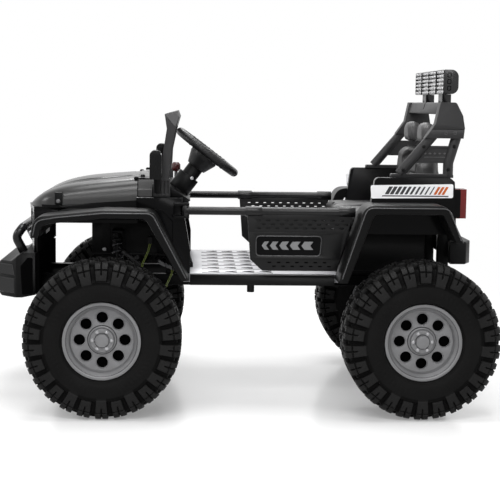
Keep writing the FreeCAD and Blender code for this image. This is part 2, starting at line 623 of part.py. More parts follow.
# Steel frame: two long rails with cross members, posts, spring towers and the battery tray.
frame = new_body("Frame")
RAIL_TOP = S.rail_bottom_z + S.rail_height
FRAME_NOSE = FRONT + S.rail_front
FRAME_TAIL = REAR - S.rail_rear
TRAY_REAR = FRONT - S.tray_rear
TRAY_FRONT = FRONT + S.tower_x * 2
BATTERY_LOW = RAIL_TOP + S.tray_rise
for side in (1, -1):
    pad(frame, "XY", S.rail_bottom_z, RAIL_TOP,
        box_loop(FRAME_TAIL, FRAME_NOSE, PEDESTAL_IN * side, PEDESTAL_OUT * side))
for cross_x in (FRONT, REAR, FRAME_TAIL + S.cross_width / 2):
    pad(frame, "XY", S.rail_bottom_z, RAIL_TOP,
        box_loop(cross_x - S.cross_width / 2, cross_x + S.cross_width / 2,
                 -PEDESTAL_OUT, PEDESTAL_OUT))
for side in (1, -1):
    TOWER_LOW = FRONT - S.tower_x - S.tower_length / 2
    TOWER_HIGH = FRONT - S.tower_x + S.tower_length / 2
    pad(frame, "XY", S.rail_bottom_z, S.tower_top_z,
        box_loop(TOWER_LOW, TOWER_HIGH, (PEDESTAL_OUT - S.tower_post_width) * side,
                 PEDESTAL_OUT * side))
    pad(frame, "XY", S.tower_top_z - S.tower_wall, S.tower_top_z,
        box_loop(TOWER_LOW, TOWER_HIGH, (PEDESTAL_OUT - S.tower_post_width) * side,
                 S.tower_reach * side))
    pad(frame, "XY", S.rail_bottom_z, BATTERY_LOW,
        box_loop(TRAY_REAR, TRAY_REAR + S.post_width, PEDESTAL_IN * side,
                 (PEDESTAL_OUT - S.tower_post_width) * side))
    REAR_POST = REAR - S.rear_post_back
    pad(frame, "XY", S.rail_bottom_z, S.tub_deck_z - S.tub_deck_wall,
        box_loop(REAR_POST - S.rear_post_length / 2, REAR_POST + S.rear_post_length / 2,
                 PEDESTAL_IN * side, PEDESTAL_OUT * side))
pad(frame, "XY", BATTERY_LOW - S.tray_wall, BATTERY_LOW,
    box_loop(TRAY_REAR, TRAY_FRONT, -(PEDESTAL_OUT - S.tower_post_width),
             PEDESTAL_OUT - S.tower_post_width))
node(frame, "chassis_frame")

# Battery under the hood, one plain case on the tray.
battery = new_body("Battery")
pad(battery, "XY", BATTERY_LOW, S.battery_top_z,
    box_loop(TRAY_REAR, TRAY_FRONT, -(PEDESTAL_OUT - S.tower_post_width),
             PEDESTAL_OUT - S.tower_post_width))
node(battery, "battery_case")

# Front spring legs: turned coil stacks between the axle seats and the towers.
shock = new_body("Shock")
SPRING_LOW = AXLE_Z + S.axle_tube_radius
SPRING_HIGH = S.tower_top_z - S.tower_wall
SPRING_PITCH = (SPRING_HIGH - SPRING_LOW - S.shock_eye * 2) / S.spring_turns
spring_outline = [(CENTRE, SPRING_LOW), (S.spring_radius, SPRING_LOW),
                  (S.spring_radius, SPRING_LOW + S.shock_eye / 2)]
for turn in range(int(S.spring_turns.value)):
    base = SPRING_LOW + S.shock_eye + SPRING_PITCH * turn
    spring_outline += [
        (S.spring_core, base),
        (S.spring_radius, base + SPRING_PITCH / 2),
    ]
spring_outline += [(S.spring_core, SPRING_HIGH - S.shock_eye),
                   (S.spring_radius, SPRING_HIGH - S.shock_eye / 2),
                   (S.spring_radius, SPRING_HIGH), (CENTRE, SPRING_HIGH)]
revolve(shock, "XZ", spring_outline)
shock.Placement = FreeCAD.Placement()
bind(shock, "Placement.Base.x", FRONT - S.tower_x)
bind(shock, "Placement.Base.y", S.shock_y)
pair(shock, "front_springs")

# Floor pan and outer sills with their round step peg.
floor_pan = new_body("FloorPan")
FLOOR_FRONT = FRONT - S.floor_front
FLOOR_REAR = REAR + S.seat_front_gap
FLOOR_LOW = S.floor_top_z - S.floor_wall
pad(floor_pan, "XY", FLOOR_LOW, S.floor_top_z,
    box_loop(FLOOR_REAR, FLOOR_FRONT, -S.floor_half_y, S.floor_half_y))
node(floor_pan, "floor_pan")

sill = new_body("Sill")
SILL_OUT = S.floor_half_y + S.sill_width
pad(sill, "XZ", S.floor_half_y, SILL_OUT,
    box_loop(REAR + S.rf_leg_x + S.seat_gap, FLOOR_FRONT - S.sill_inset,
             S.floor_top_z - S.sill_drop, S.floor_top_z - S.sill_lip))
pad(sill, "XY", S.peg_bottom_z, S.floor_top_z - S.sill_drop,
    ("circle", FRONT - S.peg_from_axle, S.floor_half_y + S.sill_width / 2,
     S.sill_width / 2))
pair(sill, "sills")

# Cowl body: side walls behind the front arches, firewall, deck and the block under the screen.
cowl = new_body("CowlBody")
WALL_IN = S.wall_out_y - S.wall_thickness
COWL_FRONT = FRONT - S.cowl_front
FIREWALL_X = FRONT - S.floor_front
BLOCK_REAR = FRONT - S.cowl_block_rear
for side in (1, -1):
    low, high = (WALL_IN, S.wall_out_y) if side > 0 else (-S.wall_out_y, -WALL_IN)
    pad(cowl, "XZ", low, high, [
        (FRONT - S.cowl_rear_low, S.floor_top_z),
        (FRONT - S.cowl_rear_low, S.cowl_rear_low_z),
        (FRONT - S.cowl_rear_mid, S.cowl_rear_mid_z),
        (FRONT - S.cowl_rear_top, S.deck_z),
        (COWL_FRONT, S.deck_z),
        (COWL_FRONT, S.hood_low_z),
        (FRONT - S.cowl_arch_x, S.cowl_arch_z),
        (FRONT - S.cowl_leg_front, S.floor_top_z),
    ])
pad(cowl, "XY", S.deck_z - S.deck_wall, S.deck_z,
    box_loop(FRONT - S.cowl_rear_top, COWL_FRONT, -WALL_IN, WALL_IN))
pad(cowl, "XY", S.floor_top_z, S.deck_z - S.deck_wall,
    box_loop(FIREWALL_X, FIREWALL_X + S.firewall_wall, -WALL_IN, WALL_IN))


def hood_section(part):
    """The hood's cross section at a share of its length from the cowl seam."""
    fall = part ** S.hood_brow_power.value
    drop = part ** S.hood_top_power.value
    narrow = S.hood_narrowing * part ** S.hood_narrow_power.value
    shoulder = S.hood_shoulder_z - S.hood_slope * part - S.hood_brow_fall * fall
    top = S.hood_top_z - S.hood_top_slope * part - S.hood_top_fall * drop
    inner = (shoulder + top) / 2
    waist = S.hood_low_z + (shoulder - S.hood_low_z) * S.hood_waist_part
    half = [
        (S.hood_half_low - narrow, S.hood_low_z),
        (S.hood_half_low - narrow - S.hood_waist_in, waist),
        (S.hood_half_high - narrow, shoulder),
        (S.hood_inner_half - narrow / 2, inner),
        (S.bulge_half - narrow / 2, top),
    ]
    return half + [(-across, up) for across, up in reversed(half)]


pad(cowl, "YZ", BLOCK_REAR, COWL_FRONT, hood_section(0.0))
node(cowl, "cowl_body")

# Hood: a lofted shell from the cowl seam to the nose, its top falling ever faster.
hood = new_body("Hood")
HOOD_PARTS = (0.0, 0.35, 0.55, 0.7, 0.8, 0.88, 0.94, 0.98, 1.0)
station_sketches = [new_sketch(hood, "YZ", COWL_FRONT + S.hood_length * part, [hood_section(part)])
                    for part in HOOD_PARTS]
hood_loft = hood.newObject("PartDesign::AdditiveLoft", "Hood_loft")
hood_loft.Profile = station_sketches[0]
hood_loft.Sections = station_sketches[1:]
hood_loft.Ruled = True
hood.Tip = hood_loft
pocket(hood, "YZ", COWL_FRONT - S.through, FRONT + S.hood_hollow_front, box_loop(
    -S.hood_hollow_half, S.hood_hollow_half, S.hood_low_z - S.through, S.hood_hollow_z))
node(hood, "hood")

catch = new_body("HoodCatch")
pad(catch, "XZ", S.hood_half_high, S.hood_half_low + S.catch_out,
    box_loop(FRONT + S.catch_front - S.catch_length, FRONT + S.catch_front,
             S.fender_top_z + S.seat_gap, S.fender_top_z + S.catch_height))
pair(cut_by(catch, hood, "CatchSeated"), "hood_catches")

# Grille: an upright nose panel with level bars and two lamp sockets.
grille = new_body("Grille")
GRILLE_BACK = FRONT + S.grille_back
pad(grille, "XZ", -S.grille_half, S.grille_half, [
    (GRILLE_BACK, S.grille_low_z), (FRONT + S.grille_low_front, S.grille_low_z),
    (FRONT + S.grille_top_front, S.hood_low_z), (GRILLE_BACK, S.hood_low_z),
])
for index in range(int(S.grille_bars.value)):
    gap_low = S.grille_open_low_z + (S.grille_bar + S.grille_gap) * index
    pocket(grille, "YZ", GRILLE_BACK - S.through, FRONT + S.grille_top_front + S.through,
           box_loop(-S.grille_open_half, S.grille_open_half, gap_low, gap_low + S.grille_gap))
for side in (1, -1):
    pocket(grille, "YZ", GRILLE_BACK + S.grille_bar, FRONT + S.grille_top_front + S.through,
           ("circle", S.lamp_y * side, S.lamp_z, S.lamp_radius))
    pad(grille, "XY", S.cheek_low_z, S.hood_low_z,
        box_loop(COWL_FRONT, GRILLE_BACK + S.cheek_wall, (S.grille_half - S.cheek_wall) * side,
                 S.grille_half * side))
    pocket(grille, "XY", S.grille_low_z - S.through, S.hood_low_z + S.through, [
        (FRONT + S.grille_corner_x, (S.grille_half + S.through) * side),
        (FRONT + S.grille_top_front + S.through, (S.grille_half + S.through) * side),
        (FRONT + S.grille_top_front + S.through, S.grille_corner_y * side),
    ])
node(grille, "grille_panel")

headlamp = new_body("Headlamp")
pad(headlamp, "YZ", GRILLE_BACK + S.grille_bar, FRONT + S.lamp_face,
    ("circle", S.lamp_y, S.lamp_z, S.lamp_radius - S.seat_gap))
pair(headlamp, "headlamps")

# Front bumper: a faceted moulding with tapered ends.
bumper = new_body("FrontBumper")
pad(bumper, "XZ", -S.bumper_half, S.bumper_half, [
    (FRONT + S.bumper_back, S.bumper_low_z + S.bumper_lip),
    (FRONT + S.bumper_ledge_front, S.bumper_low_z),
    (FRONT + S.bumper_nose - S.bumper_chamfer, S.bumper_low_z),
    (FRONT + S.bumper_nose, S.bumper_low_z + S.bumper_chamfer),
    (FRONT + S.bumper_nose, S.bumper_top_z - S.bumper_chamfer),
    (FRONT + S.bumper_nose - S.bumper_chamfer, S.bumper_top_z),
    (FRONT + S.bumper_ledge_low, S.bumper_top_z),
    (FRONT + S.bumper_ledge_front, S.bumper_ledge_z),
    (FRONT + S.bumper_back, S.bumper_ledge_z),
])
for side in (1, -1):
    pocket(bumper, "XY", S.bumper_low_z - S.through, S.bumper_ledge_z + S.through, [
        (FRONT + S.bumper_wing, (S.bumper_half + S.through) * side),
        (FRONT + S.bumper_nose + S.through, (S.bumper_half + S.through) * side),
        (FRONT + S.bumper_nose + S.through, S.bumper_nose_half * side),
    ])
node(bumper, "front_bumper")


def bent_tube(name, route, radius, bend):
    """A round tube of straight runs joined by arcs of one bend radius."""
    points = [VECTOR(*[as_length(value).value for value in point]) for point in route]
    edges = []
    last = points[0]
    for index in range(1, len(points) - 1):
        before = points[index - 1].sub(points[index]).normalize()
        after = points[index + 1].sub(points[index]).normalize()
        half = before.getAngle(after) / 2
        reach = bend.value / math.tan(half)
        start = points[index] + before * reach
        finish = points[index] + after * reach
        rise = bend.value / math.sin(half) - bend.value
        middle = points[index] + (before + after).normalize() * rise
        edges.append(Part.LineSegment(last, start).toShape())
        edges.append(Part.Arc(start, middle, finish).toShape())
        last = finish
    edges.append(Part.LineSegment(last, points[-1]).toShape())
    path = Part.Wire(edges)
    along = points[1].sub(points[0])
    section = Part.Wire(Part.Circle(points[0], along, radius.value).toShape())
    tube = document.addObject("Part::Feature", name)
    tube.Shape = path.makePipeShell([section], True, False)
    return tube


bull_points = []
for side in (1, -1):
    leg = [
        (FRONT + S.bull_foot, S.bull_y * side, S.bull_foot_z),
        (FRONT + S.bull_out, S.bull_y * side, S.bull_out_z),
        (FRONT + S.bull_top, S.bull_y * side, S.bull_top_z),
    ]
    bull_points += leg if side > 0 else leg[::-1]
bull_tube = bent_tube("BullTube", bull_points, S.bull_radius, S.bull_bend)
node(cut_by(bull_tube, bumper, "BullBar"), "bull_bar")

# Front fenders: a broad rounded flare over each wheel and an inner band to the body.
front_fender = new_body("FrontFender")
FLARE_LOW = S.fender_top_z - S.fender_wall
INNER_ROUND = S.ff_knee_round - S.fender_wall
TIP_ROUND = S.ff_tip_round - S.fender_wall
pad(front_fender, "XZ", S.wall_out_y, S.fender_out_y, [
    (FRONT - S.ff_leg_x, S.ff_leg_z),
    (FRONT - S.ff_knee_x, S.fender_top_z, S.ff_knee_round),
    (CENTRE + FRONT, S.fender_top_z),
    (FRONT + S.ff_brow_x, S.ff_brow_z),
    (FRONT + S.ff_tip_x, S.ff_tip_z, S.ff_tip_round),
    (FRONT + S.ff_end_x, S.ff_end_z),
    (FRONT + S.ff_end_x - S.fender_wall, S.ff_end_z),
    (FRONT + S.ff_tip_x - S.fender_wall, S.ff_tip_z - S.fender_wall, TIP_ROUND),
    (FRONT + S.ff_brow_x, S.ff_brow_z - S.fender_wall),
    (CENTRE + FRONT, FLARE_LOW),
    (FRONT - S.ff_knee_x + S.fender_wall, FLARE_LOW, INNER_ROUND),
    (FRONT - S.ff_leg_x + S.fender_wall, S.ff_leg_z),
])
pad(front_fender, "XZ", S.grille_half + S.seat_gap, S.wall_out_y, [
    (COWL_FRONT, S.hood_low_z - S.seat_gap),
    (FRONT + S.ff_brow_x - S.fender_wall, S.hood_low_z - S.seat_gap),
    (FRONT + S.ff_brow_x, S.ff_brow_z - S.seat_gap),
    (FRONT + S.ff_tip_x - S.fender_wall, S.ff_tip_z - S.cheek_wall),
    (FRONT + S.ff_tip_x - S.cheek_wall, S.ff_tip_z - S.fender_wall),
    (FRONT + S.ff_tip_x - S.cheek_wall, S.ff_end_z),
    (FRONT + S.ff_tip_x - S.fender_wall, S.ff_end_z),
    (FRONT + S.ff_tip_x - S.fender_wall, S.ff_tip_z - S.fender_wall * 2),
    (FRONT + S.ff_brow_x, S.ff_brow_z - S.fender_wall),
    (CENTRE + FRONT, FLARE_LOW),
    (COWL_FRONT, FLARE_LOW),
])
pair(front_fender, "front_fenders")

marker = new_body("Marker")
MARKER_X = FRONT + S.ff_end_x
pad(marker, "YZ", MARKER_X - S.marker_out, MARKER_X + S.marker_out / 2,
    box_loop(S.fender_out_y - S.marker_length - S.marker_out, S.fender_out_y - S.marker_out,
             S.ff_end_z + S.marker_out, S.ff_end_z + S.marker_height))
marker_seated = cut_by(marker, front_fender, "MarkerSeated")
pair(marker_seated, "marker_lamps")

# Rear fenders: a rounded flare with a long leg in front of each wheel.
rear_fender = new_body("RearFender")
RF_LOW = S.rf_top_z - S.rf_wall
RF_INNER_ROUND = S.rf_knee_round - S.rf_wall
pad(rear_fender, "XZ", S.tub_out_y, S.fender_out_y, [
    (REAR + S.rf_leg_x, S.rf_leg_z),
    (REAR + S.rf_knee_x, S.rf_top_z, S.rf_knee_round),
    (REAR - S.rf_brow_x, S.rf_top_z, S.rf_brow_round),
    (REAR - S.rf_end_x, S.rf_end_z),
    (REAR - S.rf_end_x + S.fender_wall, S.rf_end_z),
    (REAR - S.rf_brow_x + S.fender_wall / 2, RF_LOW, RF_INNER_ROUND),
    (REAR + S.rf_knee_x - S.rf_wall, RF_LOW, RF_INNER_ROUND),
    (REAR + S.rf_leg_x - S.rf_wall, S.rf_leg_z),
])
pair(rear_fender, "rear_fenders")

# Rear tub: side walls, back wall and deck over the wheels, with a riser down to the floor.
tub = new_body("RearTub")
TUB_IN = S.tub_out_y - S.tub_wall
DECK_LOW = S.tub_deck_z - S.tub_deck_wall
TUB_SIDE = [
    (REAR + S.tub_front_x, DECK_LOW),
    (REAR + S.tub_front_top, S.tub_top_z, S.tub_round),
    (REAR - S.tub_top_rear, S.tub_top_z),
    (REAR - S.tub_corner_x, S.tub_corner_z),
    (REAR - S.tub_back_x, DECK_LOW),
]
for side in (1, -1):
    low, high = (TUB_IN, S.tub_out_y) if side > 0 else (-S.tub_out_y, -TUB_IN)
    pad(tub, "XZ", low, high, TUB_SIDE)
pad(tub, "XY", DECK_LOW, S.tub_deck_z,
    box_loop(REAR - S.tub_back_x, REAR + S.tub_front_x, -TUB_IN, TUB_IN))
pad(tub, "XZ", -TUB_IN, TUB_IN, [
    (REAR - S.tub_back_x + S.tub_back_wall, S.tub_deck_z),
    (REAR - S.tub_corner_x + S.tub_back_wall, S.tub_top_z),
    (REAR - S.tub_top_rear, S.tub_top_z),
    (REAR - S.tub_corner_x, S.tub_corner_z),
    (REAR - S.tub_back_x, S.tub_deck_z),
])
node(tub, "rear_tub")

seat_base = new_body("SeatBase")
pad(seat_base, "XY", S.floor_top_z, DECK_LOW,
    box_loop(REAR - S.seat_base_back, FLOOR_REAR + S.riser_wall, -S.seat_base_half,
             S.seat_base_half))
pad(seat_base, "XY", S.floor_top_z, DECK_LOW,
    box_loop(FLOOR_REAR, FLOOR_REAR + S.riser_wall, -S.floor_half_y, S.floor_half_y))
node(seat_base, "seat_base")

# Tail lamps on the tub's back wall, and the rear bumper on the frame's posts.
tail = new_body("TailLamp")
pad(tail, "XZ", S.tail_y, S.tail_y + S.tail_width,
    box_loop(REAR - S.tub_back_x - S.tail_depth, REAR - S.tub_corner_x + S.tail_frame,
             S.tail_low_z, S.tail_top_z))
tail_seated = cut_by(tail, tub, "TailSeated")
pair(tail_seated, "tail_lamps")

rear_bumper = new_body("RearBumper")
BUMPER_X = REAR_POST - S.rear_post_length / 2
pad(rear_bumper, "XY", S.rear_bumper_low_z, S.rear_bumper_low_z + S.rear_bumper_height, [
    (BUMPER_X, -S.rear_bumper_half), (BUMPER_X, S.rear_bumper_half),
    (BUMPER_X - S.rear_bumper_depth + S.rear_bumper_taper, S.rear_bumper_half),
    (BUMPER_X - S.rear_bumper_depth, S.rear_bumper_half - S.rear_bumper_taper * 2),
    (BUMPER_X - S.rear_bumper_depth, -(S.rear_bumper_half - S.rear_bumper_taper * 2)),
    (BUMPER_X - S.rear_bumper_depth + S.rear_bumper_taper, -S.rear_bumper_half),
])
for side in (1, -1):
    pad(rear_bumper, "XY", S.rear_bumper_low_z, S.rear_bumper_low_z + S.rear_bumper_height,
        box_loop(BUMPER_X, REAR - S.rear_wing_x, S.rear_wing_y * side,
                 S.rear_bumper_half * side))
node(rear_bumper, "rear_bumper")

# Seats: two cushions, two leaning backs and two round head rests.
cushion = new_body("Cushion")
CUSHION_LOW = S.tub_deck_z + S.seat_gap
pad(cushion, "XZ", S.seat_y - S.cushion_half, S.seat_y + S.cushion_half, [
    (REAR + S.cushion_back, CUSHION_LOW),
    (REAR + S.cushion_front, CUSHION_LOW),
    (REAR + S.cushion_front, CUSHION_LOW + S.cushion_height, S.cushion_round),
    (REAR + S.cushion_back, CUSHION_LOW + S.cushion_height),
])
pair(cushion, "seat_cushions")

back = new_body("SeatBack")
BACK_FOOT = REAR + S.back_foot_x - S.seat_gap
pad(back, "YZ", REAR - S.tub_corner_x, REAR + S.cushion_back, [
    (S.seat_y - S.back_half, CUSHION_LOW), (S.seat_y + S.back_half, CUSHION_LOW),
    (S.seat_y + S.back_half, S.tub_top_z), (S.seat_y + S.back_top_half, S.back_top_z),
    (S.seat_y - S.back_top_half, S.back_top_z), (S.seat_y - S.back_half, S.tub_top_z),
])
pocket(back, "XZ", 0, S.tub_out_y, [
    (REAR + S.cushion_back + S.through, CUSHION_LOW - S.through),
    (REAR + S.cushion_back + S.through, S.back_top_z + S.through),
    (REAR - S.back_head_x, S.back_top_z + S.through), (BACK_FOOT, CUSHION_LOW - S.through),
])
pocket(back, "XZ", 0, S.tub_out_y, [
    (REAR - S.tub_corner_x - S.through, CUSHION_LOW - S.through),
    (BACK_FOOT - S.back_thick, CUSHION_LOW - S.through),
    (REAR - S.back_head_x - S.back_thick, S.back_top_z + S.through),
    (REAR - S.tub_corner_x - S.through, S.back_top_z + S.through),
])
pair(back, "seat_backs")

head_rest = new_body("HeadRest")
HEAD_BACK = REAR - S.head_x - S.head_thick
pad(head_rest, "XZ", S.seat_y - S.head_half, S.seat_y + S.head_half, [
    (HEAD_BACK, S.back_top_z + S.seat_gap),
    (HEAD_BACK + S.head_thick, S.back_top_z + S.seat_gap, S.head_round),
    (HEAD_BACK + S.head_thick, S.head_top_z, S.head_round),
    (HEAD_BACK, S.head_top_z, S.head_round),
])
pair(head_rest, "head_rests")

# Roll bar: on each side a crown over two round legs, a framed plate and a foot rail.
crown = new_body("Crown")
pad(crown, "XZ", S.roll_in_y, S.roll_out_y, [
    (REAR - S.crown_low_front, S.crown_low_z),
    (REAR - S.crown_brow_x, S.crown_brow_z),
    (REAR - S.crown_top_front, S.crown_top_z),
    (REAR - S.crown_top_rear, S.crown_top_z, S.crown_round),
    (REAR - S.crown_back_x, S.crown_back_z),
    (REAR - S.crown_rear_x, S.crown_rear_z),
    (REAR - S.crown_low_rear, S.crown_low_z),
])
pocket(crown, "XZ", S.roll_out_y - S.crease_depth, S.roll_out_y + S.through,
       box_loop(REAR - S.crown_rear_x - S.through, REAR - S.crown_low_front, S.crease_z,
                S.crease_z + S.crease_height))

roll_plate = new_body("RollPlate")
PLATE_REAR_LOW = REAR - S.stay_foot_x
PLATE_REAR_TOP = REAR - S.stay_mid_x
pad(roll_plate, "XZ", S.roll_y - S.plate_half, S.roll_y + S.plate_half, [
    (REAR + S.plate_front_x, S.plate_low_z),
    (PLATE_REAR_LOW, S.plate_low_z),
    (PLATE_REAR_TOP, S.plate_top_z),
    (REAR - S.plate_top_x, S.plate_top_z),
])
pocket(roll_plate, "XZ", S.roll_y + S.plate_half - S.plate_recess,
       S.roll_y + S.plate_half + S.through, [
           (REAR + S.plate_front_x - S.plate_nose_rim, S.plate_low_z + S.plate_rim),
           (PLATE_REAR_LOW + S.plate_rim * 2, S.plate_low_z + S.plate_rim),
           (PLATE_REAR_TOP + S.plate_rim * 2, S.plate_top_z - S.plate_rim),
           (REAR - S.plate_top_x - S.plate_rim, S.plate_top_z - S.plate_rim),
       ])
pad(roll_plate, "XZ", S.roll_y - S.foot_rail_half, S.roll_y + S.foot_rail_half, [
    (REAR - S.foot_rail_rear, S.tub_top_z),
    (REAR + S.foot_rail_front, S.tub_top_z),
    (REAR + S.foot_rail_front, S.tub_top_z + S.foot_rail_height, S.foot_round),
    (REAR - S.foot_rail_rear, S.tub_top_z + S.foot_rail_height, S.foot_round),
])
front_leg = bent_tube("RollLeg", [
    (REAR + S.leg_foot_x, S.roll_y, S.leg_foot_z),
    (REAR - S.leg_head_x, S.roll_y, S.leg_head_z),
], S.roll_tube_radius, S.stay_bend)
rear_leg = bent_tube("RollStay", [
    (REAR - S.stay_foot_x, S.roll_y, S.tub_top_z),
    (REAR - S.stay_foot_x, S.roll_y, S.stay_knee_z),
    (REAR - S.stay_mid_x, S.roll_y, S.stay_mid_z),
    (REAR - S.stay_head_x, S.roll_y, S.stay_head_z),
], S.roll_tube_radius, S.stay_bend)
roll_side = document.addObject("Part::MultiFuse", "RollSide")
roll_side.Shapes = [crown, roll_plate, front_leg, rear_leg]
pair(roll_side, "roll_bar_sides")

header = new_body("RollHeader")
pad(header, "XZ", -S.roll_in_y, S.roll_in_y, [
    (REAR - S.header_back, S.header_low_z),
    (REAR - S.header_front_low, S.header_low_z),
    (REAR - S.header_front_top, S.crown_top_z),
    (REAR - S.header_back, S.crown_top_z),
])
pocket(header, "XZ", -S.notch_half, S.notch_half,
       box_loop(REAR - S.header_front_top - S.notch_depth, REAR - S.header_front_low,
                S.notch_low_z, S.crown_top_z + S.through))
node(header, "roll_header")

# Lamp bar: two long pods on feet over the header, each with a grid of light squares.
pod = new_body("LampPod")
POD_IN = S.bar_gap
POD_OUT = S.bar_half
LED_FACE = REAR - S.bar_front
GRID_BACK = LED_FACE - S.led_depth
pad(pod, "XZ", POD_IN, POD_OUT, [
    (GRID_BACK - S.seat_gap, S.bar_low_z),
    (GRID_BACK - S.seat_gap, S.bar_top_z),
    (REAR - S.bar_back, S.bar_top_z, S.bar_round),
    (REAR - S.bar_back, S.bar_low_z, S.bar_round),
])
pad(pod, "XY", S.crown_top_z, S.bar_low_z,
    box_loop(REAR - S.foot_back, REAR - S.foot_front, S.foot_y - S.foot_width / 2,
             S.foot_y + S.foot_width / 2))
pair(pod, "lamp_pods")

GRID_LOW = S.bar_low_z + S.bar_edge
GRID_IN = POD_IN + S.bar_edge
ROW_PITCH = (S.bar_top_z - S.bar_edge - GRID_LOW + S.led_gap) / S.led_rows
PANEL_PITCH = (POD_OUT - S.bar_edge - GRID_IN + S.panel_gap) / S.led_panels
COLUMN_PITCH = (PANEL_PITCH - S.panel_gap + S.led_gap) / S.led_columns
first_led = document.addObject("Part::Box", "FirstLed")
bind(first_led, "Length", S.led_depth)
bind(first_led, "Width", COLUMN_PITCH - S.led_gap)
bind(first_led, "Height", ROW_PITCH - S.led_gap)
squares = []
lights = [(panel, column) for panel in range(int(S.led_panels.value))
          for column in range(int(S.led_columns.value))]
for row in range(int(S.led_rows.value)):
    for panel, column in lights:
        square = document.addObject("App::Link", "Led")
        square.LinkedObject = first_led
        bind(square, "Placement.Base.x", GRID_BACK)
        bind(square, "Placement.Base.y", GRID_IN + PANEL_PITCH * panel + COLUMN_PITCH * column)
        bind(square, "Placement.Base.z", GRID_LOW + ROW_PITCH * row)
        squares.append(square)
led_grid = document.addObject("Part::Compound", "LampGrid")
led_grid.Links = squares
pair(led_grid, "lamp_grids")

# Windscreen frame: two posts on ribbed feet and a header round an open window.
screen = new_body("ScreenFrame")
pad(screen, "XZ", -S.screen_out_y, S.screen_out_y, [
    (FRONT - S.base_rear, S.deck_z),
    (FRONT - S.base_front, S.deck_z),
    (FRONT - S.base_front, S.base_top_z),
    (FRONT - S.post_front_low, S.base_top_z),
    (FRONT - S.post_knee_front, S.post_knee_z),
    (FRONT - S.neck_front, S.neck_z),
    (FRONT - S.header_front, S.header_front_z),
    (FRONT - S.header_top, S.header_top_z),
    (FRONT - S.header_rear, S.header_rear_z),
    (FRONT - S.neck_rear, S.neck_z),
    (FRONT - S.post_knee_rear, S.post_knee_z),
    (FRONT - S.post_rear_low, S.base_top_z),
    (FRONT - S.base_rear, S.base_top_z),
])
pocket(screen, "YZ", FRONT - S.header_rear - S.through, FRONT - S.base_front + S.through,
       box_loop(-S.screen_in_y, S.screen_in_y, S.deck_z - S.through, S.screen_head_z))
for side in (1, -1):
    for index in range(int(S.rib_count.value)):
        groove = FRONT - S.base_rear + S.rib_pitch / 2 + S.rib_pitch * index
        faces = (S.screen_out_y - S.rib_depth, S.screen_out_y + S.through)
        low, high = faces if side > 0 else (-faces[1], -faces[0])
        pocket(screen, "XZ", low, high,
               box_loop(groove, groove + S.rib_width, S.rib_low_z, S.rib_top_z))
node(screen, "windscreen_frame")

mirror = new_body("Mirror")
pad(mirror, "XZ", S.mirror_in_y, S.mirror_out_y, [
    (FRONT - S.mirror_rear, S.mirror_low_z),
    (FRONT - S.mirror_front, S.mirror_low_z),
    (FRONT - S.mirror_front, S.mirror_top_z, S.mirror_round),
    (FRONT - S.mirror_rear, S.mirror_top_z, S.mirror_round),
])
pad(mirror, "XZ", S.screen_out_y, S.mirror_in_y,
    box_loop(FRONT - S.stalk_rear, FRONT - S.stalk_front, S.stalk_low_z, S.stalk_top_z))
pair(mirror, "mirrors")

# Dashboard, steering column, gear lever and pedal.
dash = new_body("Dash")
DASH_HALF = S.screen_in_y - S.dash_gap
pad(dash, "XZ", -DASH_HALF, DASH_HALF, [
    (FRONT - S.dash_low_x, S.dash_low_z),
    (FRONT - S.dash_rear_x, S.dash_rear_z),
    (FRONT - S.dash_top_x, S.dash_top_z),
    (BLOCK_REAR, S.dash_top_z),
    (BLOCK_REAR, S.deck_z),
    (FRONT - S.cowl_rear_top, S.deck_z),
    (FRONT - S.cowl_rear_top, S.deck_z - S.deck_wall),
    (FRONT - S.dash_low_x, S.deck_z - S.deck_wall),
])
node(dash, "dashboard")


def steering_frame(feature_object):
    """Stand a piece that was drawn round Z on the leaning steering axis."""
    lean = -S.column_lean
    feature_object.Placement = FreeCAD.Placement(
        VECTOR(0, 0, 0), FreeCAD.Rotation(VECTOR(0, 1, 0), lean.value))
    bind(feature_object, "Placement.Base.x", FRONT - S.wheel_hub_back)
    bind(feature_object, "Placement.Base.y", S.driver_y)
    bind(feature_object, "Placement.Base.z", S.wheel_hub_z)
    bind(feature_object, "Placement.Rotation.Axis.y", as_length(1))
    bind(feature_object, "Placement.Rotation.Angle", lean)


column = new_body("Column")
SHAFT_BORE = S.shaft_radius + S.bearing_gap
revolve(column, "XZ", [
    (SHAFT_BORE, -S.column_top - S.shaft_length),
    (CENTRE, -S.column_top - S.shaft_length),
    (CENTRE, -S.column_top - S.column_length),
    (S.collar_radius, -S.column_top - S.column_length),
    (S.collar_radius, -S.column_collar),
    (S.column_radius, -S.column_collar),
    (S.column_radius, -S.column_top),
    (SHAFT_BORE, -S.column_top),
])
steering_frame(column)
column_on_dash = cut_by(column, dash, "ColumnOnDash")
node(cut_by(column_on_dash, cowl, "ColumnSeated"), "steering_column")

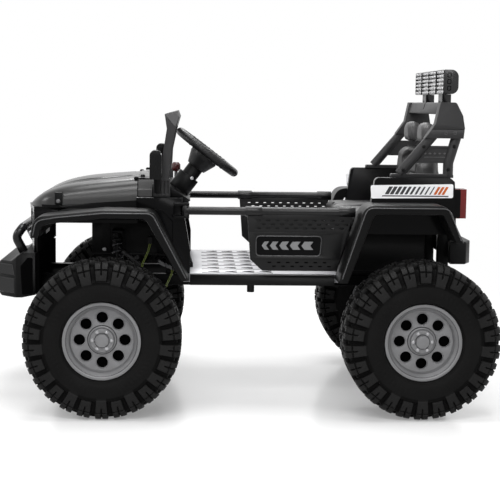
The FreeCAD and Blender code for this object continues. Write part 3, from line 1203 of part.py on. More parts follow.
wheel = new_body("SteeringWheel")
HUB_BACK = -S.column_top + S.seat_gap
ring_sketch = new_sketch(wheel, "XZ", 0, [("circle", S.wheel_ring_radius, CENTRE,
                                          S.wheel_grip_radius)])
ring = wheel.newObject("PartDesign::Revolution", "Wheel_ring")
ring.Profile = ring_sketch
ring.ReferenceAxis = (ring_sketch, ["V_Axis"])
ring.Angle = 360.0
wheel.Tip = ring
SPOKE_HALF = S.spoke_width / 2
spokes = [
    box_loop(-SPOKE_HALF, SPOKE_HALF, CENTRE, S.wheel_ring_radius),
    box_loop(-S.wheel_ring_radius, CENTRE, -SPOKE_HALF, SPOKE_HALF),
    box_loop(-SPOKE_HALF, SPOKE_HALF, -S.wheel_ring_radius, CENTRE),
]
for spoke in spokes:
    pad(wheel, "XY", -S.spoke_wall, CENTRE, spoke)
revolve(wheel, "XZ", [
    (CENTRE, CENTRE),
    (S.wheel_hub_radius - S.rim_lip, CENTRE),
    (S.wheel_hub_radius, -S.rim_lip),
    (S.wheel_hub_radius, -S.wheel_hub_shoulder),
    (S.wheel_hub_neck, HUB_BACK),
    (CENTRE, HUB_BACK),
])
pad(wheel, "XY", -S.column_top - S.shaft_length + S.seat_gap, HUB_BACK,
    ("circle", CENTRE, CENTRE, S.shaft_radius))
steering_frame(wheel)
node(wheel, "steering_wheel")

lever = new_body("Lever")
LEVER_X = FRONT - S.lever_x
LEVER_LOW = S.deck_z + S.lever_radius
pad(lever, "XY", LEVER_LOW, S.lever_top_z, ("circle", LEVER_X, CENTRE, S.lever_radius))
lever_seated = cut_by(lever, dash, "LeverSeated")
node(lever_seated, "gear_lever")

knob = new_body("Knob")
revolve(knob, "XZ", [
    (CENTRE, S.lever_top_z),
    (S.knob_radius - S.lever_radius, S.lever_top_z),
    (S.knob_radius, S.lever_top_z + S.knob_radius / 2),
    (S.knob_radius, S.lever_top_z + S.knob_shoulder),
    (S.knob_radius - S.lever_radius, S.lever_top_z + S.knob_radius * 2),
    (CENTRE, S.lever_top_z + S.knob_radius * 2),
])
bind(knob, "Placement.Base.x", LEVER_X)
node(knob, "lever_knob")

pedal = new_body("Pedal")
PEDAL_X = FRONT - S.pedal_x
pad(pedal, "XZ", S.driver_y - S.pedal_width / 2, S.driver_y + S.pedal_width / 2, [
    (PEDAL_X - S.pedal_length, S.floor_top_z),
    (PEDAL_X, S.floor_top_z),
    (PEDAL_X, S.floor_top_z + S.pedal_rise),
    (PEDAL_X - S.pedal_wall, S.floor_top_z + S.pedal_rise),
    (PEDAL_X - S.pedal_length, S.floor_top_z + S.pedal_wall),
])
node(pedal, "pedal")

# Doors: a round rail that turns on a pin at the dash corner, with a slotted panel under it.
hinge = new_body("Hinge")
HINGE_X = FRONT - S.hinge_from_axle
EYE_LOW = S.rail_front_z - S.eye_height / 2
EYE_HIGH = S.rail_front_z + S.eye_height / 2
for lug_low, lug_high in ((EYE_LOW - S.lug_gap - S.lug_wall, EYE_LOW - S.lug_gap),
                          (EYE_HIGH + S.lug_gap, EYE_HIGH + S.lug_gap + S.lug_wall)):
    pad(hinge, "XY", lug_low, lug_high,
        box_loop(HINGE_X - S.eye_radius, FRONT - S.lug_front, S.wall_out_y,
                 S.door_y + S.eye_radius))
pad(hinge, "XZ", S.wall_out_y, S.wall_out_y + S.lug_wall,
    box_loop(HINGE_X + S.eye_radius + S.lug_wall / 2, FRONT - S.lug_front,
             EYE_LOW - S.lug_gap - S.lug_wall, EYE_HIGH + S.lug_gap + S.lug_wall))
pad(hinge, "XY", EYE_LOW - S.lug_gap - S.lug_wall, EYE_HIGH + S.lug_gap + S.lug_wall,
    ("circle", HINGE_X, S.door_y, S.pin_radius))
pair(hinge, "door_hinges")

rail = new_body("DoorRail")
RAIL_REAR = REAR + S.rail_rear_from_axle
RAIL_FRONT = HINGE_X
PANEL_FRONT = FRONT - S.panel_top_front
pad(rail, "YZ", RAIL_REAR, RAIL_FRONT, ("circle", S.door_y, S.rail_front_z, S.rail_tube_radius))
pad(rail, "YZ", RAIL_REAR, RAIL_REAR + S.sleeve_length,
    ("circle", S.door_y, S.rail_front_z, S.sleeve_radius))
SLEEVE_REAR = HINGE_X - S.sleeve_front_offset - S.sleeve_length
pad(rail, "YZ", SLEEVE_REAR, SLEEVE_REAR + S.sleeve_length,
    ("circle", S.door_y, S.rail_front_z, S.sleeve_radius))
pad(rail, "XY", EYE_LOW, EYE_HIGH, ("circle", HINGE_X, S.door_y, S.eye_radius))
pocket(rail, "XY", EYE_LOW - S.through, EYE_HIGH + S.through,
       ("circle", HINGE_X, S.door_y, S.pin_radius + S.pin_gap))
pocket(rail, "XY", EYE_HIGH, EYE_HIGH + S.sleeve_radius,
       box_loop(HINGE_X - S.eye_radius, HINGE_X + S.sleeve_radius, S.wall_out_y,
                S.door_y + S.sleeve_radius * 2))
moving_pair(rail, "door_rail")

panel = new_body("DoorPanel")
PANEL_IN = S.door_y - S.panel_wall / 2
PANEL_OUT = S.door_y + S.panel_wall / 2
PANEL_TOP = S.rail_front_z
pad(panel, "XZ", PANEL_IN, PANEL_OUT, [
    (REAR + S.panel_top_rear, PANEL_TOP),
    (REAR + S.panel_low_rear, S.panel_low_z),
    (FRONT - S.panel_low_front, S.panel_low_z),
    (FRONT - S.panel_cut_x, S.panel_cut_z),
    (PANEL_FRONT, PANEL_TOP),
])
BAND_REAR = REAR + S.panel_low_rear - S.band_slope
pad(panel, "XZ", PANEL_OUT, PANEL_OUT + S.band_out, [
    (BAND_REAR, S.band_low_z),
    (FRONT - S.panel_cut_x, S.band_low_z),
    (PANEL_FRONT - S.band_slope, S.band_top_z),
    (BAND_REAR - S.sign_round, S.band_top_z),
])
FAR_THROUGH = PANEL_IN - S.through
SLOT_ROWS = [
    (S.slot_rows, S.slot_top_z, S.slot_count, FRONT - S.sign_front, FAR_THROUGH),
    (S.low_slot_rows, S.low_slot_top_z, S.low_slot_count, FRONT - S.low_slot_front,
     PANEL_OUT - S.low_slot_depth),
]
for rows, top_z, count, front_x, depth in SLOT_ROWS:
    for row in range(int(rows.value)):
        shift = S.slot_pitch / 2 * (row % 2)
        low_z = top_z - S.slot_row_pitch * row - S.slot_height
        slots = []
        for index in range(int(count.value)):
            front = front_x - shift - S.slot_pitch * index
            slots.append(box_loop(front - S.slot_length, front, low_z, low_z + S.slot_height))
        pocket(panel, "XZ", depth, PANEL_OUT + S.through, *slots)
SIGN_FACE = PANEL_OUT + S.band_out
pocket(panel, "XZ", SIGN_FACE - S.sign_recess, SIGN_FACE + S.through, [
    (REAR + S.sign_rear, S.sign_low_z, S.sign_round),
    (FRONT - S.sign_front, S.sign_low_z, S.sign_round),
    (FRONT - S.sign_front, S.sign_top_z, S.sign_round),
    (REAR + S.sign_rear, S.sign_top_z, S.sign_round),
])
panel_seated = cut_by(panel, rail, "PanelSeated")
moving_pair(panel_seated, "door_panel")

document.recompute()

for item in document.Objects:
    if "Invalid" in item.State or "Error" in item.State:
        raise RuntimeError("%s failed: %s" % (item.Name, item.State))
os.makedirs("parts", exist_ok=True)
for item in nodes:
    shape = item.Shape
    if shape.isNull() or not shape.isValid() or not shape.Solids:
        raise RuntimeError("%s has no valid solid" % item.Label)
    shape.exportStep("parts/%s.step" % item.Label)
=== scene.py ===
import json
import math

import bmesh
import bpy
import numpy as np
from mathutils import Matrix, Vector


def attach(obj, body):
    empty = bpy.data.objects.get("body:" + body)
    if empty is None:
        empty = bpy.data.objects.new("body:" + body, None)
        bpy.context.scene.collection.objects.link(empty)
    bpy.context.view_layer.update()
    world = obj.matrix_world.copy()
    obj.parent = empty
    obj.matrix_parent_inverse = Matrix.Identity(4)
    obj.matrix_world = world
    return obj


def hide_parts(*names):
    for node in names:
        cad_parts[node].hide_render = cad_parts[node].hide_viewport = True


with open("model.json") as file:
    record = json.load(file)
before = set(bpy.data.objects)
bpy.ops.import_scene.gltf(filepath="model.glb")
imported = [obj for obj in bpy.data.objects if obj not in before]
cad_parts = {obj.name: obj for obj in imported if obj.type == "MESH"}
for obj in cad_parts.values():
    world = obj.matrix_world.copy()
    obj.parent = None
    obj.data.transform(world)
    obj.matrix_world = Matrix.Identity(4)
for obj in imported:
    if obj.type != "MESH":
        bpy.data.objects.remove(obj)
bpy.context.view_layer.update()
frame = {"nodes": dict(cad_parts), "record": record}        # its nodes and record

NODES = frame["nodes"]
MM = 0.001
MICRON = 0.000001

# Sockets of the mix node for colours.
MIX_FACTOR, MIX_FIRST, MIX_SECOND, MIX_RESULT = 0, 6, 7, 2

# Each finish: the record's slot, colour, roughness, grains per metre, grain depth in microns, share by
# which the shade spreads, and, where they differ from plain plastic, specular, metallic and clear coat.
FINISHES = {
    "gloss_body": ("body_black", (0.0022, 0.0022, 0.0025), 0.16, 420, 30, 0.2, 0.07),
    # The hood's black is painted lighter than the body's, as a painted sheen.
    "hood_black_with_painted_sheen": ("hood_black", (0.0110, 0.0108, 0.0108), 0.30, 500, 30, 0.08, 0.38),
    "fender_body": ("fender_black", (0.0030, 0.0030, 0.0031), 0.35, 700, 60, 0.2, 0.09),
    "trim": ("trim_black", (0.0040, 0.0040, 0.0042), 0.42, 900, 150, 0.3, 0.10),
    "tube_paint": ("tube_black", (0.0045, 0.0045, 0.0048), 0.24, 600, 30, 0.25, 0.24),
    "roll_grey": ("roll_grey", (0.024, 0.0237, 0.0245), 0.50, 1100, 150, 0.15, 0.22),
    "frame_paint": ("frame_steel", (0.002, 0.002, 0.0022), 0.36, 420, 120, 0.25, 0.08),
    "drive_plastic": ("drive_plastic", (0.004, 0.004, 0.0042), 0.5, 800, 150, 0.25, 0.14),
    "spring_steel": ("spring_steel", (0.030, 0.030, 0.032), 0.35, 500, 80, 0.25, 0.5, 0.4),
    "steering_grip": ("wheel_grip", (0.007, 0.007, 0.0074), 0.40, 1400, 200, 0.25, 0.22),
    "rim_silver": ("rim_silver", (0.185, 0.185, 0.19), 0.42, 1500, 60, 0.08, 0.5, 0.2),
    "tyre_rubber": ("tyre_black", (0.0085, 0.0083, 0.0083), 0.55, 1200, 200, 0.3, 0.12),
    "floor_silver": ("floor_silver", (0.46, 0.46, 0.48), 0.34, 700, 80, 0.08, 0.5, 0.2),
    "seat_leather": ("seat_leather", (0.013, 0.0128, 0.013), 0.44, 900, 300, 0.3, 0.3),
    "lamp_clear": ("lamp_clear", (0.30, 0.30, 0.31), 0.12, 800, 30, 0.1),
    "lamp_white": ("lamp_white", (0.62, 0.62, 0.64), 0.25, 800, 30, 0.05),
    "lamp_red": ("lamp_red", (0.13, 0.008, 0.008), 0.16, 800, 30, 0.2, 0.3),
    "knob_red": ("knob_red", (0.055, 0.008, 0.008), 0.28, 800, 30, 0.2),
    "head_leather": ("seat_leather", (0.046, 0.045, 0.046), 0.42, 900, 300, 0.25, 0.35),
    "lamp_housing": ("trim_black", (0.010, 0.010, 0.011), 0.22, 800, 40, 0.2, 0.4),
    "bolt_steel": ("spring_steel", (0.36, 0.36, 0.37), 0.34, 900, 100, 0.15, 0.5, 0.8),
    "band_white": ("lamp_white", (0.86, 0.86, 0.88), 0.34, 900, 30, 0.06),
    "band_dark": ("body_black", (0.020, 0.020, 0.022), 0.34, 900, 30, 0.2),
    "band_orange": ("knob_red", (0.62, 0.125, 0.012), 0.34, 900, 30, 0.12),
    "sign_grey": ("rim_silver", (0.20, 0.20, 0.205), 0.36, 900, 40, 0.12),
    "mirror_face": ("lamp_clear", (0.55, 0.56, 0.57), 0.06, 300, 10, 0.05, 0.5, 1.0),
    "wire_yellow_green": ("spring_steel", (0.15, 0.20, 0.02), 0.4, 900, 50, 0.15),
    "plug_grey": ("drive_plastic", (0.12, 0.12, 0.124), 0.45, 900, 100, 0.15),
    # A light grey for small parts, which on the screen header's ends is a painted sheen.
    "grey_trim_and_painted_sheen": ("roll_grey", (0.085, 0.084, 0.086), 0.3, 900, 50, 0.1, 0.4),
    # A lighter grey for beads and bezels; along the fenders it paints highlight lines.
    "bead_grey_and_painted_highlight": ("fender_black", (0.050, 0.050, 0.052), 0.28, 700, 40, 0.15),
    # Near-black without gloss: painted shade behind the nose, in the bumper's ends, the doors' slots and
    # behind the rims' vents.
    "painted_shade_black": ("trim_black", (0.0010, 0.0010, 0.0011), 0.7, 700, 100, 0.2, 0.02),
    "dash_screen": ("trim_black", (0.006, 0.008, 0.011), 0.08, 300, 10, 0.2, 0.5, 0.0, 0.5),
    "led_square": ("lamp_white", (0.60, 0.60, 0.61), 0.22, 800, 30, 0.05),
    "door_panel": ("body_black", (0.0060, 0.0060, 0.0062), 0.40, 900, 150, 0.25, 0.17),
    "coil_steel": ("spring_steel", (0.030, 0.030, 0.033), 0.3, 500, 80, 0.15, 0.5, 0.5),
}


def fill(thing, **values):
    """Set several of a thing's values."""
    for key, value in values.items():
        setattr(thing, key, value)
    return thing


def put(name, data):
    """A new object in the scene."""
    thing = bpy.data.objects.new(name, data)
    bpy.context.collection.objects.link(thing)
    return thing


def new_material(name):
    material = bpy.data.materials.new(name)
    material.use_nodes = True
    tree = material.node_tree
    return material, tree, tree.nodes["Principled BSDF"]


def add(tree, kind, *sources, **values):
    """A shader node: sources are linked to its first inputs, and values fill inputs or settings."""
    made = tree.nodes.new(kind)
    for key, value in values.items():
        if key in made.inputs:
            made.inputs[key].default_value = value
        else:
            setattr(made, key, value)
    for source, socket in zip(sources, made.inputs):
        tree.links.new(source, socket)
    return made


def set_inputs(node, values):
    """Fill a shader node's inputs by their names."""
    for socket, value in values.items():
        node.inputs[socket].default_value = value


def ramp(tree, source, stops):
    """A colour ramp; each stop is a place and a grey or a colour."""
    made = add(tree, "ShaderNodeValToRGB", source)
    elements = made.color_ramp.elements
    while len(elements) < len(stops):
        elements.new(0.5)
    for element, (spot, value) in zip(elements, stops):
        element.position = spot
        grey = isinstance(value, (int, float))
        element.color = (value, value, value, 1) if grey else (*value, 1)
    return made.outputs["Color"]


def multiply(tree, first, second):
    """Two colours multiplied."""
    made = add(tree, "ShaderNodeMix", data_type="RGBA", blend_type="MULTIPLY")
    made.inputs[MIX_FACTOR].default_value = 1.0
    tree.links.new(first, made.inputs[MIX_FIRST])
    tree.links.new(second, made.inputs[MIX_SECOND])
    return made.outputs[MIX_RESULT]


def place(tree, scale=1.0):
    """The place on the piece in metres, scaled."""
    spot = add(tree, "ShaderNodeTexCoord").outputs["Object"]
    return add(tree, "ShaderNodeMapping", spot, Scale=(scale, scale, scale)).outputs["Vector"]


def noise(tree, vector, scale, detail):
    """A noise texture's value."""
    made = add(tree, "ShaderNodeTexNoise", vector, Scale=scale, Detail=detail, Roughness=0.55)
    return made.outputs["Fac"]


def plastic(name, colour, rough, grain, depth, spread, specular=0.5, metallic=0.0, coat=0.0):
    """Moulded plastic or paint: slow shade changes, a fine grain and uneven gloss."""
    shade_scale, gloss_scale, gloss_spread, coat_rough = 7.0, 24.0, 0.03, 0.12
    material, tree, shader = new_material(name)
    spot = place(tree)
    low = tuple(part * (1 - spread) for part in colour)
    high = tuple(min(1.0, part * (1 + spread)) for part in colour)
    tint = ramp(tree, noise(tree, spot, shade_scale, 4.0), [(0.3, low), (0.7, high)])
    tree.links.new(tint, shader.inputs["Base Color"])
    gloss = ramp(tree, noise(tree, spot, gloss_scale, 5.0),
                 [(0.25, rough - gloss_spread), (0.75, rough + gloss_spread)])
    tree.links.new(gloss, shader.inputs["Roughness"])
    set_inputs(shader, {"Specular IOR Level": specular, "Metallic": metallic,
                        "Coat Weight": coat, "Coat Roughness": coat_rough})
    bump = add(tree, "ShaderNodeBump", Distance=depth * MICRON, Strength=1.0)
    tree.links.new(noise(tree, spot, grain, 2.0), bump.inputs["Height"])
    tree.links.new(bump.outputs["Normal"], shader.inputs["Normal"])
    return material


def paint_groove_shade(material):
    """Painted shade and highlight: darken the tread's grooves and lighten its block tops, as the top light
    would.
    """
    tree = material.node_tree
    shader = tree.nodes["Principled BSDF"]
    relief = add(tree, "ShaderNodeAttribute", attribute_name="relief").outputs["Fac"]
    tint = shader.inputs["Base Color"].links[0].from_socket
    level = ramp(tree, relief, [(0.1, 0.3), (0.55, 0.6), (0.95, 0.7)])
    tree.links.new(multiply(tree, tint, level), shader.inputs["Base Color"])
    shine = ramp(tree, relief, [(0.1, 0.04), (0.55, 0.06), (0.95, 0.14)])
    tree.links.new(shine, shader.inputs["Specular IOR Level"])


def paint_glow(material, strength):
    """Painted light: a white glow on a material, so that it looks brighter than the lamps make it."""
    set_inputs(material.node_tree.nodes["Principled BSDF"],
               {"Emission Color": (1.0, 1.0, 1.0, 1.0), "Emission Strength": strength})


PAINT = {name: plastic(name, *look) for name, (slot, *look) in FINISHES.items()}
SLOT_OF = {name: slot for name, (slot, *look) in FINISHES.items()}
FIRST_OF_SLOT = {SLOT_OF[name]: name for name in reversed(FINISHES)}
# Painted shade in the tyres' grooves and painted highlight on their block tops.
paint_groove_shade(PAINT["tyre_rubber"])
# The white side band gets a little painted glow.
paint_glow(PAINT["band_white"], 0.16)


def dress(finish, *names):
    """Give CAD nodes a finish in place of their own material."""
    for name in names:
        mesh = NODES[name].data
        mesh.materials.clear()
        mesh.materials.append(PAINT[finish])
        for face in mesh.polygons:
            face.material_index = 0


def soften(name, width, angle, segments):
    """Round the sharp edges of a CAD node by a small width, without moving its faces."""
    piece = NODES[name]
    fill(piece.modifiers.new("weld", "WELD"), merge_threshold=20 * MICRON)
    fill(piece.modifiers.new("edge", "BEVEL"), width=width, segments=segments, limit_method="ANGLE",
         angle_limit=math.radians(angle), use_clamp_overlap=True, harden_normals=True)
    for face in piece.data.polygons:
        face.use_smooth = True


# Meshes made here. They are drawn in millimetres, in the part's frame, and turned into metres at the end.
FRONT, REAR, AXLE_Z, WHEEL_Y = 367.0, -483.0, 210.0, 372.0
SIDES = (1, -1)
NAMED_SIDES = (("left", 1), ("right", -1))
WHEELS = [("_%s_%s" % (end, name), x, side) for end, x in (("front", FRONT), ("rear", REAR))
          for name, side in NAMED_SIDES]
LEAST_RADIUS = 0.05
AHEAD = (1, 0, 0)
LEFTWARD = (0, 1, 0)
UPWARD = (0, 0, 1)


def rounded(points, radius, closed=False, steps=6):
    """Round a flat line's corners with short arcs; a point may name its own radius."""
    spots = [Vector((point[0], point[1], 0)) for point in points]
    line = []
    for index, spot in enumerate(spots):
        if not closed and index in (0, len(spots) - 1):
            line.append((spot.x, spot.y))
            continue
        before = spots[index - 1] - spot
        after = spots[(index + 1) % len(spots)] - spot
        half = before.angle(after) / 2
        own = points[index][2] if len(points[index]) > 2 else radius
        reach = min(own / max(math.tan(half), 0.05), before.length * 0.49, after.length * 0.49)
        start, end = spot + before.normalized() * reach, spot + after.normalized() * reach
        for step in range(steps + 1):
            part = step / steps
            on_line = start * (1 - part) ** 2 + spot * 2 * part * (1 - part) + end * part ** 2
            line.append((on_line.x, on_line.y))
    return line


def inset(points, distance):
    """Move a closed flat line sideways: to the inside of a loop drawn anticlockwise."""
    moved = []
    for index, point in enumerate(points):
        turns = []
        for first, second in ((points[index - 1], point), (point, points[(index + 1) % len(points)])):
            along = Vector((second[0] - first[0], second[1] - first[1]))
            if along.length > 1e-6:
                turns.append(Vector((-along.y, along.x)).normalized())
        middle = sum(turns, Vector((0, 0))).normalized()
        spread = max(0.4, middle.dot(turns[0]))
        moved.append((point[0] + middle.x * distance / spread, point[1] + middle.y * distance / spread))
    return moved


def spline(points, count):
    """A smooth line drawn by a clamped quadratic B-spline over its control points."""
    spans = len(points) - 2
    line = []
    for step in range(count):
        at = min(spans * step / (count - 1), spans - 1e-9)
        span = int(at)
        part = at - span
        first, middle, last = points[span:span + 3]
        start = first if span == 0 else tuple((a + b) / 2 for a, b in zip(first, middle))
        end = last if span == spans - 1 else tuple((a + b) / 2 for a, b in zip(middle, last))
        line.append(tuple(a * (1 - part) ** 2 + b * 2 * part * (1 - part) + c * part ** 2
                          for a, b, c in zip(start, middle, end)))
    return line


def box_loop(x, z, wide, high):
    """A rectangle round a middle point."""
    return [(x - wide / 2, z - high / 2), (x + wide / 2, z - high / 2),
            (x + wide / 2, z + high / 2), (x - wide / 2, z + high / 2)]


def oval(x, z, wide, high, round_edge):
    """A rounded rectangle round a middle point."""
    return rounded(box_loop(x, z, wide, high), round_edge, closed=True, steps=4)


def round_angles(count):
    """Evenly spaced angles of a full turn."""
    return [2 * math.pi * step / count for step in range(count)]


# Where a flat drawing (u, v) goes at a level: on a side, facing ahead, facing back, lying flat, or on a
# leaning plane.
def on_side(side):
    return lambda u, v, level: (u, side * level, v)


def on_front(u, v, level):
    return (level, u, v)


def on_back(u, v, level):
    return (-level, u, v)


def lying(u, v, level):
    return (u, v, level)


def on_plane(foot, right, up, out):
    return lambda u, v, level: foot + right * u + up * v + out * level


class Shape:
    """One mesh that gathers skins, tubes, plates and turned forms."""

    def __init__(self):
        self.mesh = bmesh.new()

    def skin(self, loops, closed=False):
        """Join loops of points into a skin with end faces; a closed skin joins its ends instead."""
        rows = [[self.mesh.verts.new(point) for point in loop] for loop in loops]
        joins = list(zip(rows, rows[1:]))
        if closed:
            joins.append((rows[-1], rows[0]))
        for first, second in joins:
            for index in range(len(first)):
                other = (index + 1) % len(first)
                self.mesh.faces.new((first[index], first[other], second[other], second[index]))
        if not closed:
            self.mesh.faces.new(rows[0][::-1])
            self.mesh.faces.new(rows[-1])

    def stack(self, place_point, levels, closed=False):
        """A skin over flat loops, each put at its own level."""
        self.skin([[place_point(u, v, level) for u, v in loop] for loop, level in levels], closed)

    def sheet(self, outline, low, high, place_point, edge):
        """A plate with a chamfered face."""
        self.stack(place_point, ((outline, low), (outline, high - edge), (inset(outline, edge), high)))

    def plate(self, outline, low, high, side, edge):
        """A plate in the side view, between two distances from the middle plane."""
        self.sheet(outline, low, high, on_side(side), edge)

    def tube(self, points, radius, sides=8, closed=False):
        """A round tube along a line; its sides turn as little as they can."""
        points = [Vector(point) for point in points]
        count = len(points)
        across = None
        loops = []
        for index, point in enumerate(points):
            before = points[index - 1] if index or closed else point
            after = points[(index + 1) % count] if index < count - 1 or closed else point
            along = (after - before).normalized()
            across = along.orthogonal() if across is None else across
            across = (across - along * across.dot(along)).normalized()
            up = along.cross(across)
            loops.append([point + radius * (math.cos(turn) * across + math.sin(turn) * up)
                          for turn in round_angles(sides)])
        self.skin(loops, closed)

    def turned(self, centre, axis, profile, sides, ring=False):
        """Turn a line of (radius, along) pairs round an axis; a ring has no end faces."""
        centre, axis = Vector(centre), Vector(axis).normalized()
        across = axis.orthogonal().normalized()
        up = axis.cross(across)
        ways = [math.cos(turn) * across + math.sin(turn) * up for turn in round_angles(sides)]
        self.skin([[centre + axis * along + max(radius, LEAST_RADIUS) * way for way in ways]
                   for radius, along in profile], closed=ring)

    def made(self, name):
        """The finished mesh in metres, with its faces outward."""
        bmesh.ops.recalc_face_normals(self.mesh, faces=self.mesh.faces)
        bmesh.ops.scale(self.mesh, vec=(MM, MM, MM), verts=self.mesh.verts)
        mesh = bpy.data.meshes.new(name)
        self.mesh.to_mesh(mesh)
        self.mesh.free()
        return mesh

    def piece(self, name, finish, body="chassis", replaces=(), crease=30):
        """Keep the shape as a named piece; edges over the crease angle stay sharp."""
        keep(self.made(name), name, finish, body, replaces, crease)


def shapes(count):
    return [Shape() for _ in range(count)]


def keep(mesh, name, finish, body, replaces, crease):
    """Put a mesh into the scene as a named piece that rides on a body."""
    for face in mesh.polygons:
        face.use_smooth = True
    mesh.set_sharp_from_angle(angle=math.radians(crease))
    mesh.materials.append(PAINT[finish])
    thing = put(name, mesh)
    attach(thing, body)
    if replaces:
        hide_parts(*replaces)
    return thing


# Tyres: one carved surface for all four wheels. TREAD_LINE is half of the bare section, as radius and
# place across, from the bead to the middle of the crown.
LUGS, STEPS = 26, 18
TYRE_RADIUS, TYRE_HALF = 210.0, 87.9
TREAD_LINE = [(103.4, 70.0), (106.0, 77.0), (111.0, 82.5), (118.0, 85.2), (127.0, 86.3), (136.0, 86.6),
              (145.0, 86.0), (154.0, 84.9), (163.0, 83.3), (172.0, 81.7), (181.0, 79.9), (189.0, 77.6),
              (196.0, 74.2), (200.5, 69.5), (203.0, 62.0), (203.6, 40.0), (203.9, 20.0), (204.0, 0.0)]


def saw(value):
    """0 on whole numbers and 1 halfway between them."""
    return 1 - np.abs(2 * (value - np.floor(value)) - 1)


def from_half(value):
    """How far a value is from the middle between two whole numbers."""
    return np.abs(value - np.floor(value) - 0.5)


def step_up(value, width):
    """A smooth step from 0 to 1 over a width."""
    part = np.clip(value / width, 0, 1)
    return part * part * (3 - 2 * part)


def ridge(distance, half, edge):
    """1 within a half width of a line, with soft edges."""
    return step_up(half - np.abs(distance), edge)


def tread_relief(turn, far, side, ring):
    """Height over the bare section, and how high a block stands for the painted groove shade, by turn, place
    across and radius.
    """
    crown_end, lug_start, slit_end, groove_at = 39, 43, 100, 84
    side_start, tread_foot, letters_r = 152, 156, 134
    phase = turn * LUGS
    lug = phase + np.where(side < 0, 0.5, 0.0)
    lug_end = 116 + 7 * (np.floor(lug) % 2)
    zigzag = 5 * saw(phase)
    inner_edge = step_up(far - lug_start - zigzag, 3.0)
    shoulder = ridge(from_half(lug), 0.395, 0.04) * step_up(lug_end - far, 5.0) * inner_edge
    whole = shoulder * inner_edge
    shoulder *= 1 - 0.5 * ridge(from_half(lug), 0.035, 0.02) * step_up(slit_end - far, 4.0)
    shoulder *= 1 - 0.4 * ridge(far - groove_at, 1.6, 1.2)
    block = from_half(lug + 0.5)
    crown = step_up(crown_end + zigzag - far, 3.0) * step_up(far - 3.0 - 2.5 * saw(phase + 0.25), 3.0)
    crown *= step_up(0.40 - block, 0.06) * (1 - 0.35 * ridge(block - 0.2, 0.04, 0.03))
    sunk = 4.5 * step_up(ring - tread_foot, 10.0)
    depth = np.interp(far, [0, 62, 80, 124], [6.2, 6.6, 5.6, 3.6])
    height = (depth + sunk) * np.maximum(shoulder, crown) - sunk
    # Rings on the sidewall, and four rows of short bars in the place of letters.
    for radius, half, edge, high in ((157, 1.8, 1.2, 1.4), (112, 2.2, 1.5, 1.1), (letters_r, 17, 1.5, 0.35)):
        height += high * ridge(ring - radius, half, edge)
    bars = step_up(saw(turn * 64 + (ring - letters_r) * 0.02) - 0.42, 0.12)
    height += 0.75 * step_up(0.30 - from_half(turn * 4), 0.02) * bars * ridge(ring - letters_r, 8, 1.5)
    return height, np.where(ring > side_start, np.maximum(whole, crown), 0.55)


def tyre_mesh():
    """The section turned into a closed grid and raised along its own normals by the relief."""
    carved, fine, coarse = 124, 2.3, 3.6
    line = np.array(TREAD_LINE + [(radius, -across) for radius, across in TREAD_LINE[-2::-1]])
    lengths = np.concatenate(([0], np.cumsum(np.hypot(*np.diff(line, axis=0).T))))
    middle = lengths[-1] / 2
    spots = []
    at = 0.0
    while at < lengths[-1]:
        spots.append(at)
        at += fine if abs(at - middle) < carved else coarse
    spots = np.array(spots + [lengths[-1]])
    radius = np.interp(spots, lengths, line[:, 0])
    across = np.interp(spots, lengths, line[:, 1])
    slope_r, slope_y = np.gradient(radius, spots), np.gradient(across, spots)
    count, wide = LUGS * STEPS, len(spots)
    turn = (np.arange(count) / count)[:, None]
    height, shade = tread_relief(turn, np.abs(spots - middle)[None, :], np.sign(across)[None, :],
                                 radius[None, :])
    grown_r = np.minimum(radius - slope_y * height, TYRE_RADIUS)
    grown_y = np.clip(across + slope_r * height, -TYRE_HALF, TYRE_HALF)
    angle = 2 * math.pi * turn
    points = np.stack((grown_r * np.cos(angle), grown_y, grown_r * np.sin(angle)), axis=-1) * MM
    rows = np.arange(count)[:, None] * wide
    cols = np.arange(wide - 1)[None, :]
    nexts = (np.arange(count)[:, None] + 1) % count * wide
    faces = np.stack((rows + cols, rows + cols + 1, nexts + cols + 1, nexts + cols), axis=-1)
    made = bpy.data.meshes.new("tyre_surface")
    made.from_pydata(points.reshape(-1, 3).tolist(), [], faces.reshape(-1, 4).tolist())
    # A block mask that paints the grooves' shade and the block tops' highlight.
    relief = made.attributes.new("relief", "FLOAT", "POINT")
    relief.data.foreach_set("value", (shade + 0 * grown_r).reshape(-1).astype(np.float32))
    made.update()
    return made


def make_tyres():
    """The same surface on each wheel."""
    surface = tyre_mesh()
    for tail, x, side in WHEELS:
        tyre = keep(surface.copy(), "tyre_tread" + tail, "tyre_rubber", "wheel" + tail, ("tyre" + tail,), 40)
        tyre.location = (x * MM, WHEEL_Y * side * MM, AXLE_Z * MM)


# Soft seats: swollen in a cloth simulation, then sewn.
SEAT_Y = 118.0
SEAT_FLOOR = 498.4
CLOTH_FRAMES = 20


def soft_block(name, loops, smoothing, voxel=0.005):
    """A remeshed and smoothed block from loops of points in millimetres."""
    block = Shape()
    block.skin(loops)
    thing = put(name, block.made(name))
    fill(thing.modifiers.new("remesh", "REMESH"), mode="VOXEL", voxel_size=voxel)
    fill(thing.modifiers.new("smooth", "SMOOTH"), iterations=smoothing)
    apply_modifiers(thing)
    return thing


def apply_modifiers(thing):
    """Turn a piece's modifiers into its mesh."""
    graph = bpy.context.evaluated_depsgraph_get()
    made = bpy.data.meshes.new_from_object(thing.evaluated_get(graph))
    thing.modifiers.clear()
    thing.data = made


def read_points(mesh, field="co"):
    """The vertices' places or normals as an array."""
    values = np.empty(len(mesh.vertices) * 3)
    mesh.vertices.foreach_get(field, values)
    return values.reshape(-1, 3)


